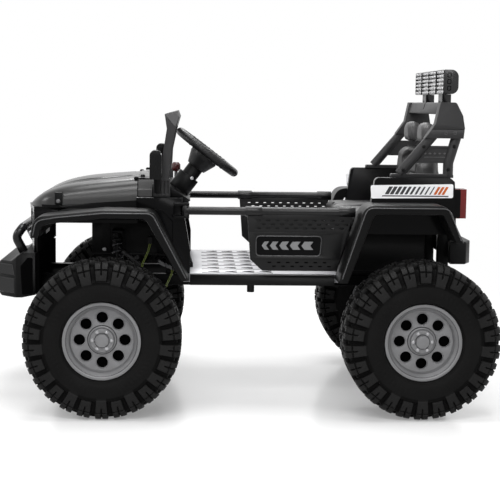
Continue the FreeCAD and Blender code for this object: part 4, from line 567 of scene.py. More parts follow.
def swell(thing, pressure, cap):
    """Blow a block up as cloth and keep each point's move within a cap."""
    start = read_points(thing.data)
    settings = fill(thing.modifiers.new("cloth", "CLOTH").settings, quality=5, mass=0.3,
                    use_pressure=True, uniform_pressure_force=pressure,
                    tension_stiffness=15, bending_stiffness=2.0)
    settings.effector_weights.gravity = 0.0
    for frame_number in range(1, CLOTH_FRAMES + 1):
        bpy.context.scene.frame_set(frame_number)
    apply_modifiers(thing)
    bpy.context.scene.frame_set(1)
    move = read_points(thing.data) - start
    length = np.linalg.norm(move, axis=1, keepdims=True)
    move *= np.minimum(1.0, cap / np.maximum(length, 1e-9))
    thing.data.vertices.foreach_set("co", (start + move).reshape(-1))
    thing.modifiers.new("more", "SUBSURF").levels = 1
    apply_modifiers(thing)


def sew(thing, groove, box):
    """Pull sewn lines in along the normals and hold the piece inside its box."""
    mesh = thing.data
    spots, normals = read_points(mesh), read_points(mesh, "normal")
    spots = spots - normals * groove(spots / MM, normals)[:, None] * MM
    low, high = (np.array(corner) * MM for corner in box)
    mesh.vertices.foreach_set("co", np.clip(spots, low, high).reshape(-1))
    mesh.update()


def channel(distance, width=3.0):
    """A sewn line's rounded dip."""
    return np.exp(-(distance / width) ** 2)


def soft_pair(thing, name, node_name, finish):
    """Keep a left seat piece and its mirror image on the right."""
    mesh = thing.data
    bpy.data.objects.remove(thing)
    for side_name, side in NAMED_SIDES:
        copy = mesh.copy()
        if side < 0:
            copy.transform(Matrix.Scale(-1, 4, (0, 1, 0)))
            copy.flip_normals()
        made = keep(copy, "%s_%s" % (name, side_name), finish, "chassis", (node_name,), 180)


def mirrored(half):
    """A closed outline from its right half, drawn upward, and the half's mirror image."""
    return [(-y, z) for y, z in half[:1]] + half + [(-y, z) for y, z in half[:0:-1]]


def cushion_groove(at, normal):
    """Side seams, two cross seams between them and a piped edge below."""
    from_seam = np.abs(at[:, 1] - SEAT_Y) - 62
    lines = channel(from_seam) + channel(at[:, 0] + 330) + channel(at[:, 0] + 395)
    edge = channel(at[:, 2] - 512, 2.2) * (np.abs(normal[:, 2]) < 0.6) * 1.5
    return 4.0 * np.clip(normal[:, 2], 0, 1) * np.where(from_seam < 4, lines, channel(from_seam)) + edge


def back_groove(at, normal):
    """Side seams and three cross seams on the front of the seat back."""
    from_middle = np.abs(at[:, 1] - SEAT_Y)
    cross = channel(at[:, 2] - 556) + channel(at[:, 2] - 600) + channel(at[:, 2] - 644)
    lines = channel(from_middle - 50) + (from_middle < 52) * cross
    return 3.6 * np.clip(normal[:, 0], 0, 1) * np.clip(lines, 0, 1) * (at[:, 2] < 700)


def head_groove(at, normal):
    """A seam round the head rest's edge."""
    return 2.4 * channel(at[:, 0] + 524, 1.6) * (np.abs(normal[:, 0]) < 0.75)


def leaning_loops(outline, corner, steps, face, levels, lean=0.0):
    """Upright loops behind a face that shrink toward both ends."""
    foot = 500
    loops = []
    for depth, shrink in levels:
        flat = inset(rounded(outline, corner, True, steps), shrink)
        loops.append([(face - depth - (z - foot) * lean, SEAT_Y + y, z) for y, z in flat])
    return loops


def make_seats():
    """Cushions, leaning backs and head rests, each drawn as loops that shrink toward its faces."""
    rear, front, half, low, high = -482, -276, 109, 499.5, 535.0
    loops = []
    for level, shrink in ((low, 5), (low + 8, 2), (high - 12, 2), (high - 3, 6), (high, 14)):
        corners = [(rear + shrink, SEAT_Y - half + shrink), (front - shrink, SEAT_Y - half + shrink),
                   (front - shrink, SEAT_Y + half - shrink), (rear + shrink, SEAT_Y + half - shrink)]
        loops.append([(x, y, level) for x, y in rounded(corners, 30, True, 5)])
    cushion = soft_block("cushion", loops, 3)
    swell(cushion, 3.0, 9 * MM)
    sew(cushion, cushion_groove, ((-485, 6.5, SEAT_FLOOR), (-271, 229.5, 541.0)))
    soft_pair(cushion, "seat_cushion_soft", "seat_cushions", "seat_leather")

    outline = mirrored([(94, 502), (98, 560), (92, 628), (78, 664), (60, 690), (56, 718)])
    levels = ((0, 14), (8, 4), (22, 1), (36, 1), (46, 4), (53, 13))
    back = soft_block("back", leaning_loops(outline, 16, 3, -493, levels, 0.062), 3)
    swell(back, 3.0, 8 * MM)
    sew(back, back_groove, ((-561, 18, SEAT_FLOOR), (-486, 218, 724)))
    soft_pair(back, "seat_back_soft", "seat_backs", "seat_leather")

    outline = mirrored([(50, 727), (52, 752), (48, 776), (28, 789)])
    levels = ((0, 15), (5, 6), (13, 1.5), (24, 1.5), (33, 6), (39, 15))
    head = soft_block("head", leaning_loops(outline, 14, 4, -512.5, levels), 2, 4.5 * MM)
    swell(head, 2.0, 5 * MM)
    sew(head, head_groove, ((-553, 64, 724.2), (-511, 172, 792)))
    soft_pair(head, "head_rest_soft", "head_rests", "head_leather")


# Small pieces on the body. Their levels lie a fraction of a millimetre over the CAD's faces.
def bolts(name, spots, radius, height, finish="bolt_steel"):
    """Six-sided bolt heads with washers; each spot is a foot point and a direction."""
    washer = radius * 1.35
    shape = Shape()
    for centre, axis in spots:
        shape.turned(centre, axis, [(washer, -0.4), (washer, 0.9), (washer - 0.6, 1.4),
                                    (radius * 1.02, 1.4)], 20)
        shape.turned(centre, axis, [(radius, 1.0), (radius, height - 0.7), (radius * 0.82, height)], 6)
    shape.piece(name, finish)


def make_lamp_bar():
    """Frames, end caps, pockets in the caps and small bulbs on the two lamp pods."""
    face, middle_z, high, end = -560.4, 901.5, 66.8, 229.6
    frames, caps, pockets, bulbs = shapes(4)
    for side in SIDES:
        for near, far in ((9, 109), (127, 229)):
            middle, wide = side * (near + far) / 2, far - near
            outer = oval(middle, middle_z, wide, high, 7)
            inner = oval(middle, middle_z, wide - 5, high - 5, 5)
            frames.stack(on_front, ((outer, face), (outer, face + 2.8), (inset(outer, 1.2), face + 3.6),
                                    (inner, face + 3.0), (inner, face + 0.2)), closed=True)
        for row in range(6):
            for across in (34, 84, 154, 204):
                bulbs.turned((face + 3.2, side * across, 874 + 11 * row), AHEAD,
                             [(2.6, -0.2), (2.4, 0.7), (1.4, 1.3), (0.3, 1.5)], 12)
        cap = rounded(box_loop(-579.5, middle_z, 29, 57), 9, True, 5)
        rim = inset(cap, 3.0)
        caps.stack(on_side(side), ((cap, end), (cap, end + 0.35), (rim, end + 0.35), (rim, end)), closed=True)
        for z in (884, 902, 920):
            pocket = oval(-573, z, 11, 13, 3)
            pockets.stack(on_side(side), ((pocket, end - 0.1), (pocket, end + 0.4),
                                          (inset(pocket, 2.0), end + 0.4), (inset(pocket, 2.6), end - 0.4)))
    frames.piece("lamp_bar_frames", "lamp_housing")
    caps.piece("lamp_bar_caps", "grey_trim_and_painted_sheen")
    pockets.piece("lamp_bar_pockets", "lamp_housing")
    bulbs.piece("lamp_bar_bulbs", "lamp_clear")


def spring_line(x, y, low, high, radius, turns):
    """A coil's middle line, with its end turns lying closer together."""
    steps = 22
    line = []
    for step in range(int(turns * steps) + 1):
        part = step / (turns * steps)
        ease = min(1.0, part * turns, (1 - part) * turns)
        z = low + (high - low) * (part + 0.02 * (0.5 - part) * (1 - ease))
        angle = 2 * math.pi * part * turns
        line.append((x + radius * math.cos(angle), y + radius * math.sin(angle), z))
    return line


def make_springs():
    """Real coils round a damper in place of the simple spring solids."""
    coils, dampers = shapes(2)
    x, y, body, rod, coil, wire = 342, 165, 8, 4.2, 12.6, 3.0
    for side in SIDES:
        coils.tube(spring_line(x, y * side, 262, 446, coil, 8.5), wire)
        dampers.turned((x, y * side, 0), UPWARD, [
            (6, 231), (13, 233), (14, 244), (body, 248), (body, 256), (15, 257), (15.6, 260), (15.6, 263),
            (body, 266), (body, 352), (rod, 354), (rod, 440), (15, 447), (15.6, 450), (15.6, 454),
            (body, 457), (body, 462), (6, 469)], 24)
        for z in (270, 278, 286, 294):
            dampers.turned((x, y * side, z), UPWARD, [(body, -2), (9.2, -1.4), (9.2, 1.4), (body, 2)], 24)
    coils.piece("front_spring_coils", "coil_steel", "chassis", ("front_springs",), 60)
    dampers.piece("front_dampers", "drive_plastic", "chassis", ("front_springs",))


def make_rims():
    """Lip, vent collars, hub ribs, nuts, dark rings of painted groove shade and a disc of painted shade
    behind the vents on each wheel's face.
    """
    vent_circle, nut_circle, vents, nuts, disc_out, nut_foot = 60, 25, 8, 6, 45, 11
    for tail, x, side in WHEELS:
        face_y = (WHEEL_Y + disc_out) * side
        centre, axis = (x, face_y, AXLE_Z), (0, side, 0)
        face, heads, seams, vent_shade = shapes(4)
        face.turned(centre, axis, [(90.5, 6), (93.0, 26.5), (96.5, 28.2), (99.0, 27.2), (100.6, 25.6),
                                   (97.6, 24.6), (93.4, 20), (92.0, 6)], 96, ring=True)
        for turn in round_angles(vents):
            spot = (x + vent_circle * math.cos(turn), face_y, AXLE_Z + vent_circle * math.sin(turn))
            face.turned(spot, axis, [(15.1, -0.6), (15.6, 0.9), (16.8, 0.9), (18.0, -0.2)], 28, ring=True)
        face.turned(centre, axis, [(33.6, 0), (36.2, 0.2), (36.8, 2.4), (34.6, 3.6), (33.6, 3.6)], 48,
                    ring=True)
        for turn in round_angles(nuts):
            spot = (x + nut_circle * math.cos(turn), face_y + nut_foot * side,
                    AXLE_Z + nut_circle * math.sin(turn))
            heads.turned(spot, axis, [(5.6, -0.3), (5.6, 0.7), (4.2, 0.9), (4.2, 4.2), (3.2, 4.8)], 6)
        # Dark rings of painted shade where the rim has grooves.
        for profile, sides in (([(37.0, -0.3), (37.2, 0.9), (39.4, 0.9), (39.8, -0.3)], 48),
                               ([(18.4, 10.6), (18.6, 11.6), (20.2, 11.6), (20.4, 10.6)], 32),
                               ([(86.0, -0.3), (86.2, 0.7), (88.2, 0.7), (88.6, -0.3)], 64),
                               ([(92.8, 24.0), (92.6, 25.6), (93.8, 27.2), (94.6, 27.6), (94.4, 26.0)], 96)):
            seams.turned(centre, axis, profile, sides, ring=True)
        # A disc of painted shade behind the vents.
        vent_shade.turned((x, 0, AXLE_Z), axis, [(41, 396), (41, 398.5), (82, 398.5), (82, 396)], 48, ring=True)
        for shape, name, finish in ((face, "rim_face", "rim_silver"), (heads, "rim_nuts", "bolt_steel"),
                                    (seams, "rim_groove_painted_shade", "spring_steel"),
                                    (vent_shade, "rim_vent_painted_shade", "painted_shade_black")):
            shape.piece(name + tail, finish, "wheel" + tail)


def slant(x, low, high, wide, lean):
    """A bar that leans back."""
    return [(x, low), (x - wide, low), (x - wide - lean, high), (x - lean, high)]


def make_bands():
    """A white band with a generic hatch on each side of the tub."""
    white, dark, orange = shapes(3)
    low, high, lean = 594, 615, 12
    foot, white_face, print_foot, dark_face, orange_face, edge = 293.9, 294.35, 294.2, 294.6, 294.8, 0.1
    for side in SIDES:
        white.plate(rounded([(-580, 585), (-355, 582), (-353, 618), (-580, 623)], 5, True, 4),
                    foot, white_face, side, 0.15)
        line = [(-384, 588), (-566, 588), (-568, 591), (-386, 591)]
        dark.plate(line, print_foot, dark_face, side, edge)
        for step in range(10):
            bar = slant(-392 - 13.6 * step, low, high, 10.5 - 0.8 * step, lean)
            dark.plate(bar, print_foot, dark_face, side, edge)
        for step in range(3):
            bar = slant(-526 - 11 * step, low, high, 7, lean)
            orange.plate(bar, print_foot, orange_face, side, edge)
    white.piece("side_band", "band_white")
    dark.piece("side_band_hatch", "band_dark")
    orange.piece("side_band_slants", "band_orange")


def make_door_signs():
    """A framed sign with plain arrow bars on each door."""
    low, high, middle = 443, 465, 454
    foot, sign_face, rim_y, bar_foot, bar_face = 324.2, 325.2, 326.6, 325.0, 326.9
    for side_name, side in NAMED_SIDES:
        bars, sign, rim = shapes(3)
        for x, wide in ((-68, 16), (-92, 19), (-119, 22), (-149, 25), (-182, 28)):
            near, far = x + wide / 2, x - wide / 2
            bar = [(far, low), (near - 4, low), (near + 4, middle), (near - 4, high), (far, high),
                   (far + 8, middle)]
            bars.plate(bar, bar_foot, bar_face, side, 0.5)
        outline = rounded([(-43, 478), (-217, 478), (-213, 428), (-43, 428)], 9, True, 5)
        sign.plate(outline, foot, sign_face, side, 0.3)
        rim.tube([(x, side * rim_y, z) for x, z in inset(outline, -2.0)], 1.4, closed=True)
        body = "door_" + side_name
        bars.piece("door_bars_" + side_name, "sign_grey", body)
        sign.piece("door_sign_" + side_name, "gloss_body", body)
        rim.piece("door_sign_rim_" + side_name, "bead_grey_and_painted_highlight", body, crease=60)


def slot_loops(first_x, top_z, rows, count):
    """The doors' slots: staggered rows, as in the CAD."""
    pitch, row_pitch, wide, high = 25, 10.6, 10, 4
    return [box_loop(first_x - pitch / 2 * (row % 2) - pitch * step, top_z - row_pitch * row, wide, high)
            for row in range(rows) for step in range(count)]


def make_slot_shade():
    """Painted shade: dark linings in the doors' slots, and dark plates for the shallow lower ones."""
    inner, outer, wall = 310.3, 323.9, 0.5
    floor, floor_face = 321.9, 322.5
    for side_name, side in NAMED_SIDES:
        slot_shade = Shape()
        for slot in slot_loops(-48, 522, 3, 10):
            hole = inset(slot, wall)
            slot_shade.stack(on_side(side), ((slot, inner), (slot, outer), (hole, outer), (hole, inner)),
                         closed=True)
        for slot in slot_loops(-78, 408, 2, 7):
            slot_shade.plate(slot, floor, floor_face, side, 0.1)
        slot_shade.piece("door_slot_painted_shade_" + side_name, "painted_shade_black", "door_" + side_name)


def make_bumper_facets():
    """Two raised facets on each slanted end of the front bumper."""
    facets = Shape()
    for side in SIDES:
        way, out = Vector((76, -75 * side, 0)).normalized(), Vector((75, 76 * side, 0)).normalized()
        on_wing = on_plane(Vector((617, 225 * side, 0)), way, Vector(UPWARD), out)
        for outline in ([(6, 352), (88, 352), (78, 384), (16, 384)],
                        [(6, 302), (76, 302), (92, 324), (92, 346), (6, 346)]):
            facets.sheet(outline, -0.5, 2.6, on_wing, 2.4)
    facets.piece("bumper_facets", "tube_paint")


def make_trim():
    """Beads on the fenders, lighter to paint highlight lines, cowl lines, painted sheen on the ends of the
    screen header, mirror faces and grooves.
    """
    beads, lines, glass, grooves, sheen = shapes(5)
    bead_y, cowl_y, header_y, mirror_y, mirror_out = 407.6, 292.1, 261.6, 302, 334.0
    for side in SIDES:
        # Raised beads along the fenders' faces, lighter than the fenders: painted highlight lines.
        for line in ([(549, 484), (541, 523), (488, 532), (367, 544), (238, 544), (148, 374)],
                     [(-268, 374), (-331, 564), (-550, 564), (-583, 479)]):
            beads.tube([(x, side * bead_y, z) for x, z in rounded(line, 26, False, 8)], 1.5)
        line = rounded([(233, 546), (216, 546), (185, 514), (185, 380)], 6)
        lines.tube([(x, side * cowl_y, z) for x, z in line], 1.3)
        # Painted sheen on the ends of the screen header.
        end = rounded([(177, 812), (171, 795), (180, 770), (208, 803)], 2, True, 3)
        sheen.plate(end, header_y, header_y + 1.0, side, 0.3)
        face = oval(0, 0, 52, 62, 11)
        glass.stack(lambda u, v, level: (216.3 - level, side * (mirror_y + u), 668.5 + v),
                    ((face, -0.5), (face, 0.25), (inset(face, 1.2), 0.35)))
        for step in range(4):
            x = 221 + step * 5.5
            grooves.tube([(x, side * mirror_out, 640), (x, side * mirror_out, 697)], 0.9, 6)
    beads.piece("fender_highlight_beads", "bead_grey_and_painted_highlight", crease=60)
    lines.piece("body_lines", "gloss_body", crease=60)
    sheen.piece("screen_header_painted_sheen", "grey_trim_and_painted_sheen")
    glass.piece("mirror_glass", "mirror_face")
    grooves.piece("mirror_grooves", "trim", crease=60)


# The hood is drawn as sections along its length, from its rear edge (part 0) to its nose (part 1).
HOOD_REAR, HOOD_LENGTH, HOOD_HALF, HOOD_FOOT = 284.4, 306.4, 230, 544.3
HOOD_POINTS = 44
BULGE_HALF = 98


def hood_narrowing(part):
    """How much the hood's half width shrinks, which it does only close to the nose."""
    return 112 * part ** 11


def hood_section(part):
    """Half of the hood's section at a share of its length, from the foot to the middle."""
    narrow = hood_narrowing(part)
    shoulder = 627 - 34 * part - 46 * part ** 7
    top = 632 - 18 * part - 66 * part ** 4.2
    waist = 544 + (shoulder - 544) * 0.62
    scoop = 7 * (1 - part) ** 0.5 * part ** 0.35
    inner = shoulder + (top - shoulder) * 0.34
    side = HOOD_HALF - narrow
    return [(side, HOOD_FOOT), (side - 0.6, 552), (side - 4, waist), (side - 23, shoulder - 3),
            (160 - narrow * 0.7, inner - 1.0), (112 - narrow * 0.5, inner - scoop * 0.4),
            (BULGE_HALF - 2 - narrow * 0.4, top - 0.8), (0, top - 0.2)]


def hood_foot_shade_section(part, share):
    """A strip of painted shade along the hood's foot, darker than the hood, which tapers toward the nose."""
    side, high, foot = HOOD_HALF - hood_narrowing(part), 566 - 17 * share, HOOD_FOOT + 0.3
    return [(side + 0.5, foot), (side, 551), (side - 1.2, high), (side - 5, high), (side - 5, foot)]


def hood_flank_shade_section(part, share):
    """A thin skin of painted shade on the flank of the hood's raised middle."""
    half = spline(hood_section(part), HOOD_POINTS)[::-1]
    wide = 6 + 26 * math.sin(math.pi * share ** 1.5) ** 0.8
    start = BULGE_HALF - hood_narrowing(part) * 0.4
    spots = [start + wide * row / 5 for row in range(6)]
    levels = np.interp(spots, [y for y, z in half], [z for y, z in half])
    return ([(y, z + 0.5) for y, z in zip(spots, levels)] +
            [(y, z - 2.0) for y, z in zip(spots[::-1], levels[::-1])])


def make_hood():
    """A smooth hood skin with rounded shoulders over the hood's solid, its strips of painted shade and the
    cowl's cover.
    """
    skin, foot_shade, flank_shade, cover = shapes(4)
    loops = []
    for part in [step / 60 for step in range(58)] + [0.958, 0.967, 0.976, 0.984, 0.991, 0.996, 1.0]:
        half = spline(hood_section(part), HOOD_POINTS)
        x = HOOD_REAR + HOOD_LENGTH * part
        loops.append([(x, y, z) for y, z in half] + [(x, -y, z) for y, z in half[-2::-1]])
    skin.skin(loops)
    skin.piece("hood_skin", "hood_black_with_painted_sheen", "chassis", ("hood",), 40)
    for shape, section, first, long, steps in ((foot_shade, hood_foot_shade_section, 0.0, 0.86, 24),
                                               (flank_shade, hood_flank_shade_section, 0.06, 0.84, 40)):
        for side in SIDES:
            loops = []
            for step in range(steps + 1):
                share = step / steps
                part = first + long * share
                x = HOOD_REAR + 0.2 + HOOD_LENGTH * part
                loops.append([(x, side * y, z) for y, z in section(part, share)])
            shape.skin(loops)
    foot_shade.piece("hood_foot_painted_shade", "gloss_body")
    flank_shade.piece("hood_bulge_painted_shade", "gloss_body")
    foot = rounded([(y + 0.5, z + 0.5) for y, z in hood_section(0.0)], 8, False, 4)
    whole = foot + [(-y, z) for y, z in foot[-2::-1]]
    cover.skin([[(x, y, z) for y, z in whole] for x in (243.2, 281.6)])
    cover.piece("cowl_cover", "hood_black_with_painted_sheen", "chassis", (), 40)


FLARE_OUT = 408


def flare(skin, outer, inner, side, near):
    """A wheel flare: a band between two lines whose outer edges are rounded."""
    loops = []
    for (x1, z1), (x2, z2) in zip(rounded(outer, 90, False, 10), rounded(inner, 90, False, 10)):
        across = Vector((x2 - x1, z2 - z1))
        deep = across.length
        rows = ((0, near), (0, FLARE_OUT - 9), (0.6, FLARE_OUT - 5.5), (2.6, FLARE_OUT - 2.2),
                (6, FLARE_OUT - 0.4), (9, FLARE_OUT), (deep - 4, FLARE_OUT), (deep - 1.4, FLARE_OUT - 1),
                (deep, FLARE_OUT - 4), (deep, near))
        loops.append([(x1 + across.x * part / deep, side * y, z1 + across.y * part / deep)
                      for part, y in rows])
    skin.skin(loops)


def make_fenders():
    """Smooth flares in the place of the fender solids, with points measured from each axle."""
    front, rear = shapes(2)
    f, r = FRONT, REAR
    front_out = [(f - 228, 366), (f - 134, 552, 46), (f, 552), (f + 124, 539), (f + 182, 532, 50),
                 (f + 190, 478)]
    front_in = [(f - 206, 366), (f - 112, 530, 24), (f, 530), (f + 124, 517), (f + 160, 510, 28),
                (f + 168, 478)]
    rear_out = [(r + 224, 363), (r + 157, 572, 42), (r - 62, 572, 36), (r - 109, 473)]
    rear_in = [(r + 199, 363), (r + 132, 547, 17), (r - 51, 547, 11), (r - 87, 473)]
    web = [(284, 543.7), (f + 102, 543.7), (f + 124, 538.7), (f + 160, 522), (f + 172, 510), (f + 172, 478),
           (f + 160, 478), (f + 160, 488), (f + 124, 517), (f, 530), (284, 530)]
    for side in SIDES:
        flare(front, front_out, front_in, side, 292)
        flare(rear, rear_out, rear_in, side, 294)
        front.plate(web[::-1], 205.3, 292.2, side, 0.3)
    front.piece("front_flares", "fender_body", "chassis", ("front_fenders",), 32)
    rear.piece("rear_flares", "fender_body", "chassis", ("rear_fenders",), 32)


def make_nose_and_tail():
    """Fins in painted shade black behind the nose panel, a ribbed bumper insert and a raised panel on the
    tub's back.
    """
    fins, insert, back = shapes(3)
    for step in range(15):
        y = -196 + 28 * step
        fins.plate([(552, 421), (560.2, 421), (560.2, 541), (552, 541)], y - 1, y + 1, 1, 0.3)
        fins.plate([(555, 297), (564.2, 301), (564.2, 414), (555, 414)], y * 1.1 - 1, y * 1.1 + 1, 1, 0.3)
    bumper_face, tub_face = 691.4, 593.4
    panel = oval(0, 342, 236, 54, 9)
    insert.stack(on_front, ((panel, bumper_face + 0.1), (panel, bumper_face + 1.1),
                            (inset(panel, 2), bumper_face + 1.5), (inset(panel, 4), bumper_face + 0.2)))
    for step in range(4):
        z = 324 + 12 * step
        insert.tube([(bumper_face, -108, z), (bumper_face, 108, z)], 1.4)
    wide = oval(0, 566, 380, 84, 12)
    back.stack(on_back, ((wide, tub_face - 1.8), (wide, tub_face + 1.0), (inset(wide, 2.2), tub_face + 2.0),
                         (inset(wide, 7), tub_face + 2.0), (inset(wide, 9), tub_face + 0.2)))
    for step in range(3):
        z = 546 + 20 * step
        back.tube([(-tub_face, -150, z), (-tub_face, 150, z)], 2.2)
    fins.piece("nose_fins", "painted_shade_black")
    insert.piece("bumper_insert", "trim")
    back.piece("tub_back_panel", "gloss_body")


def make_bumper_shade_and_hooks():
    """Painted shade in the shape of hollows on the bumper's ends, and small hooks on the cowl."""
    dark, hooks = shapes(2)
    end_y, hook_y = 224.6, 200
    for side in SIDES:
        # Painted shade on the bumper's ends.
        shade_outline = rounded([(572, 304), (602, 300), (606, 380), (586, 404), (572, 404)], 5, True, 4)
        dark.plate(shade_outline, end_y, end_y + 0.8, side, 0.3)
        for x, z in ((288, 625), (270, 631)):
            hooks.turned((x, side * hook_y, z), UPWARD,
                         [(6.5, -2), (6.5, 3), (4.5, 4.6), (3.4, 5.2), (0.5, 5.4)], 20)
    dark.piece("bumper_painted_shade", "painted_shade_black")
    hooks.piece("cowl_hooks", "trim")


def make_roll_details():
    """Bolts, square sockets and small diamonds on the roll bar's sides."""
    marks = Shape()
    spots = []
    socket_y, panel_y = 281.0, 264.6
    for side in SIDES:
        spots += [((x, side * 275.6, z), (0, side, 0)) for x, z in
                  ((-499, 724), (-444, 660), (-583, 725), (-568, 662))]
        for x, z in ((-558, 761), (-583, 762)):
            socket = oval(x, z, 8, 8, 1.5)
            marks.stack(on_side(side), ((socket, socket_y - 0.4), (socket, socket_y),
                                        (inset(socket, 1.6), socket_y), (inset(socket, 1.6), socket_y - 0.6)))
        for step in range(5):
            x, z = -505 - step * 13.5, 705
            diamond = [(x - 4.5, z), (x, z - 3), (x + 4.5, z), (x, z + 3)]
            marks.plate(diamond, panel_y, panel_y + 2.0, side, 0.6)
        marks.plate([(-562, 694), (-502, 694), (-502, 696), (-562, 696)], panel_y, panel_y + 1.6, side, 0.4)
    bolts("roll_bar_bolts", spots, 3.8, 3.6, "trim")
    marks.piece("roll_bar_marks", "grey_trim_and_painted_sheen")


def make_lamps():
    """Round lamp bezels with lenses and bulbs, and the tail lamps' lenses and dark cases."""
    bezels, lenses, cases, reds, bulbs = shapes(5)
    lamp_y, lamp_z, bulb_circle, bulb_foot = 136, 503, 17, 578.2
    lens_face, rib_x, case_front, case_rear = 617.6, -618.0, 586, 601
    tail = {"x": 263, "z": 569, "wide": 46, "high": 70}
    for side in SIDES:
        y = side * lamp_y
        bezels.turned((0, y, lamp_z), AHEAD, [(29.5, 576), (29.8, 578.6), (31.0, 579.6), (33.4, 579.4),
                                              (34.4, 578.0), (34.4, 572)], 56, ring=True)
        lenses.turned((0, y, lamp_z), AHEAD, [(29.4, 576.6), (24, 578.2), (16, 579.4), (8, 580.0),
                                              (0.5, 580.2)], 56)
        for turn in round_angles(6):
            spot = (bulb_foot, y + bulb_circle * math.cos(turn), lamp_z + bulb_circle * math.sin(turn))
            bulbs.turned(spot, AHEAD, [(4.8, 0), (4.4, 2.0), (2.4, 3.0), (0.4, 3.4)], 16)
        outline = rounded([(side * u, v) for u, v in box_loop(*tail.values())], 5, True, 4)
        reds.stack(on_back, ((outline, 612), (outline, lens_face),
                             (inset(outline, 1.6 * side), lens_face + 0.4)))
        frame_loop = box_loop(tail["x"], tail["z"], 55.2, 81.2)
        collar = rounded([(side * u, v) for u, v in frame_loop], 4, True, 4)
        inner = inset(collar, 1.2 * side)
        cases.stack(on_back, ((inner, case_front), (collar, case_front), (collar, case_rear),
                              (inner, case_rear + 1.5)), closed=True)
        for z in (546, 562, 578, 594):
            reds.tube([(rib_x, side * 243, z), (rib_x, side * 283, z)], 0.9, 6)
    bezels.piece("headlamp_bezels", "bead_grey_and_painted_highlight")
    lenses.piece("headlamp_lenses", "lamp_clear", crease=60)
    bulbs.piece("headlamp_bulbs", "led_square")
    reds.piece("tail_lamp_lenses", "lamp_red")
    cases.piece("tail_lamp_cases", "gloss_body")


def make_floor_tread():
    """Raised lines and arrows on the floor, and ribs on the pedal."""
    tread, ribs = shapes(2)
    low, high, edge, row_gap = 371.8, 372.9, 0.4, 82
    for row in range(7):
        y = (row - 3) * row_gap
        tread.sheet(oval(6, y + 30, 196, 3.6, 1.2), low, high, lying, edge)
        for x in range(88, -57, -48):
            for turn in (-1, 1):
                bar = [(x, y), (x - 30, y + turn * 15), (x - 33, y + turn * 10), (x - 12, y)]
                tread.sheet(bar[::-turn], low, high, lying, edge)
    for step in range(5):
        z = 382 + step * 9
        x = 152 - (z - 372) * 0.34
        ribs.tube([(x, 96, z), (x, 144, z)], 1.0, 6)
    tread.piece("floor_tread", "gloss_body")
    ribs.piece("pedal_ribs", "trim", crease=60)


def make_dashboard():
    """Gauges before the driver, a screen in the middle and a row of keys, on the leaning rear face."""
    dash, rings, screen = shapes(3)
    foot = Vector((166.5, 0, 587))
    normal = Vector((-38, 0, 55)).normalized()
    on_dash = on_plane(foot, Vector(LEFTWARD), Vector((normal.z, 0, -normal.x)), normal)
    for y, radius in ((95, 17), (145, 17), (-95, 13), (-130, 13)):
        centre = on_dash(y, 0, 0)
        dash.turned(centre, normal, [(radius, -1), (radius, 1.6), (radius - 1.2, 2.4), (radius - 3, 2.2),
                                     (radius - 3.4, 0.8), (0.5, 0.8)], 36)
        rings.turned(centre, normal, [(radius - 4, 0.9), (radius - 5.5, 1.3), (radius - 6.5, 0.9)], 36,
                     ring=True)
    screen.sheet(oval(0, 0, 92, 44, 5), -0.5, 2.6, on_dash, 1.2)
    for step in range(5):
        dash.sheet(oval(-36 + step * 18, -29, 12, 7, 2), -0.5, 2.0, on_dash, 0.8)
    dash.piece("dash_gauges", "trim")
    rings.piece("dash_rings", "bolt_steel")
    screen.piece("dash_screen", "dash_screen")


def make_steering_pad():
    """A padded centre, buttons and stitched grips on the steering wheel."""
    lean = math.radians(37)
    axis = Vector((-math.sin(lean), 0, math.cos(lean)))
    up = Vector((math.cos(lean), 0, math.sin(lean)))
    hub = Vector((91, 120, 697))
    ring_radius, seam_radius, first_seam, seam_gap = 95, 11.9, -34, 8.5

    on_wheel = on_plane(hub, Vector(LEFTWARD), up, axis)
    pad, buttons, seams = shapes(3)
    outline = rounded([(-34, -30), (34, -30), (40, 4), (28, 32), (-28, 32), (-40, 4)], 10, True, 5)
    pad.stack(on_wheel, ((outline, -8), (outline, 4), (inset(outline, 2.5), 6.6), (inset(outline, 8), 8.6),
                         (inset(outline, 16), 9.4)))
    for u in (-52, 52):
        for v in (-5, 8):
            buttons.turned(on_wheel(u, v, 5), axis, [(4.6, 0), (4.6, 3.4), (3.6, 4.2), (0.5, 4.4)], 16)
    for side in SIDES:
        for step in range(9):
            turn = math.radians(first_seam + step * seam_gap)
            line = []
            for roll in round_angles(12):
                ring = ring_radius + seam_radius * math.cos(roll)
                line.append(on_wheel(side * ring * math.cos(turn), ring * math.sin(turn),
                                     seam_radius * math.sin(roll)))
            seams.tube(line, 0.9, 6, closed=True)
    pad.piece("steering_pad", "steering_grip", "steering")
    buttons.piece("steering_buttons", "sign_grey", "steering")
    seams.piece("steering_seams", "steering_grip", "steering", crease=60)


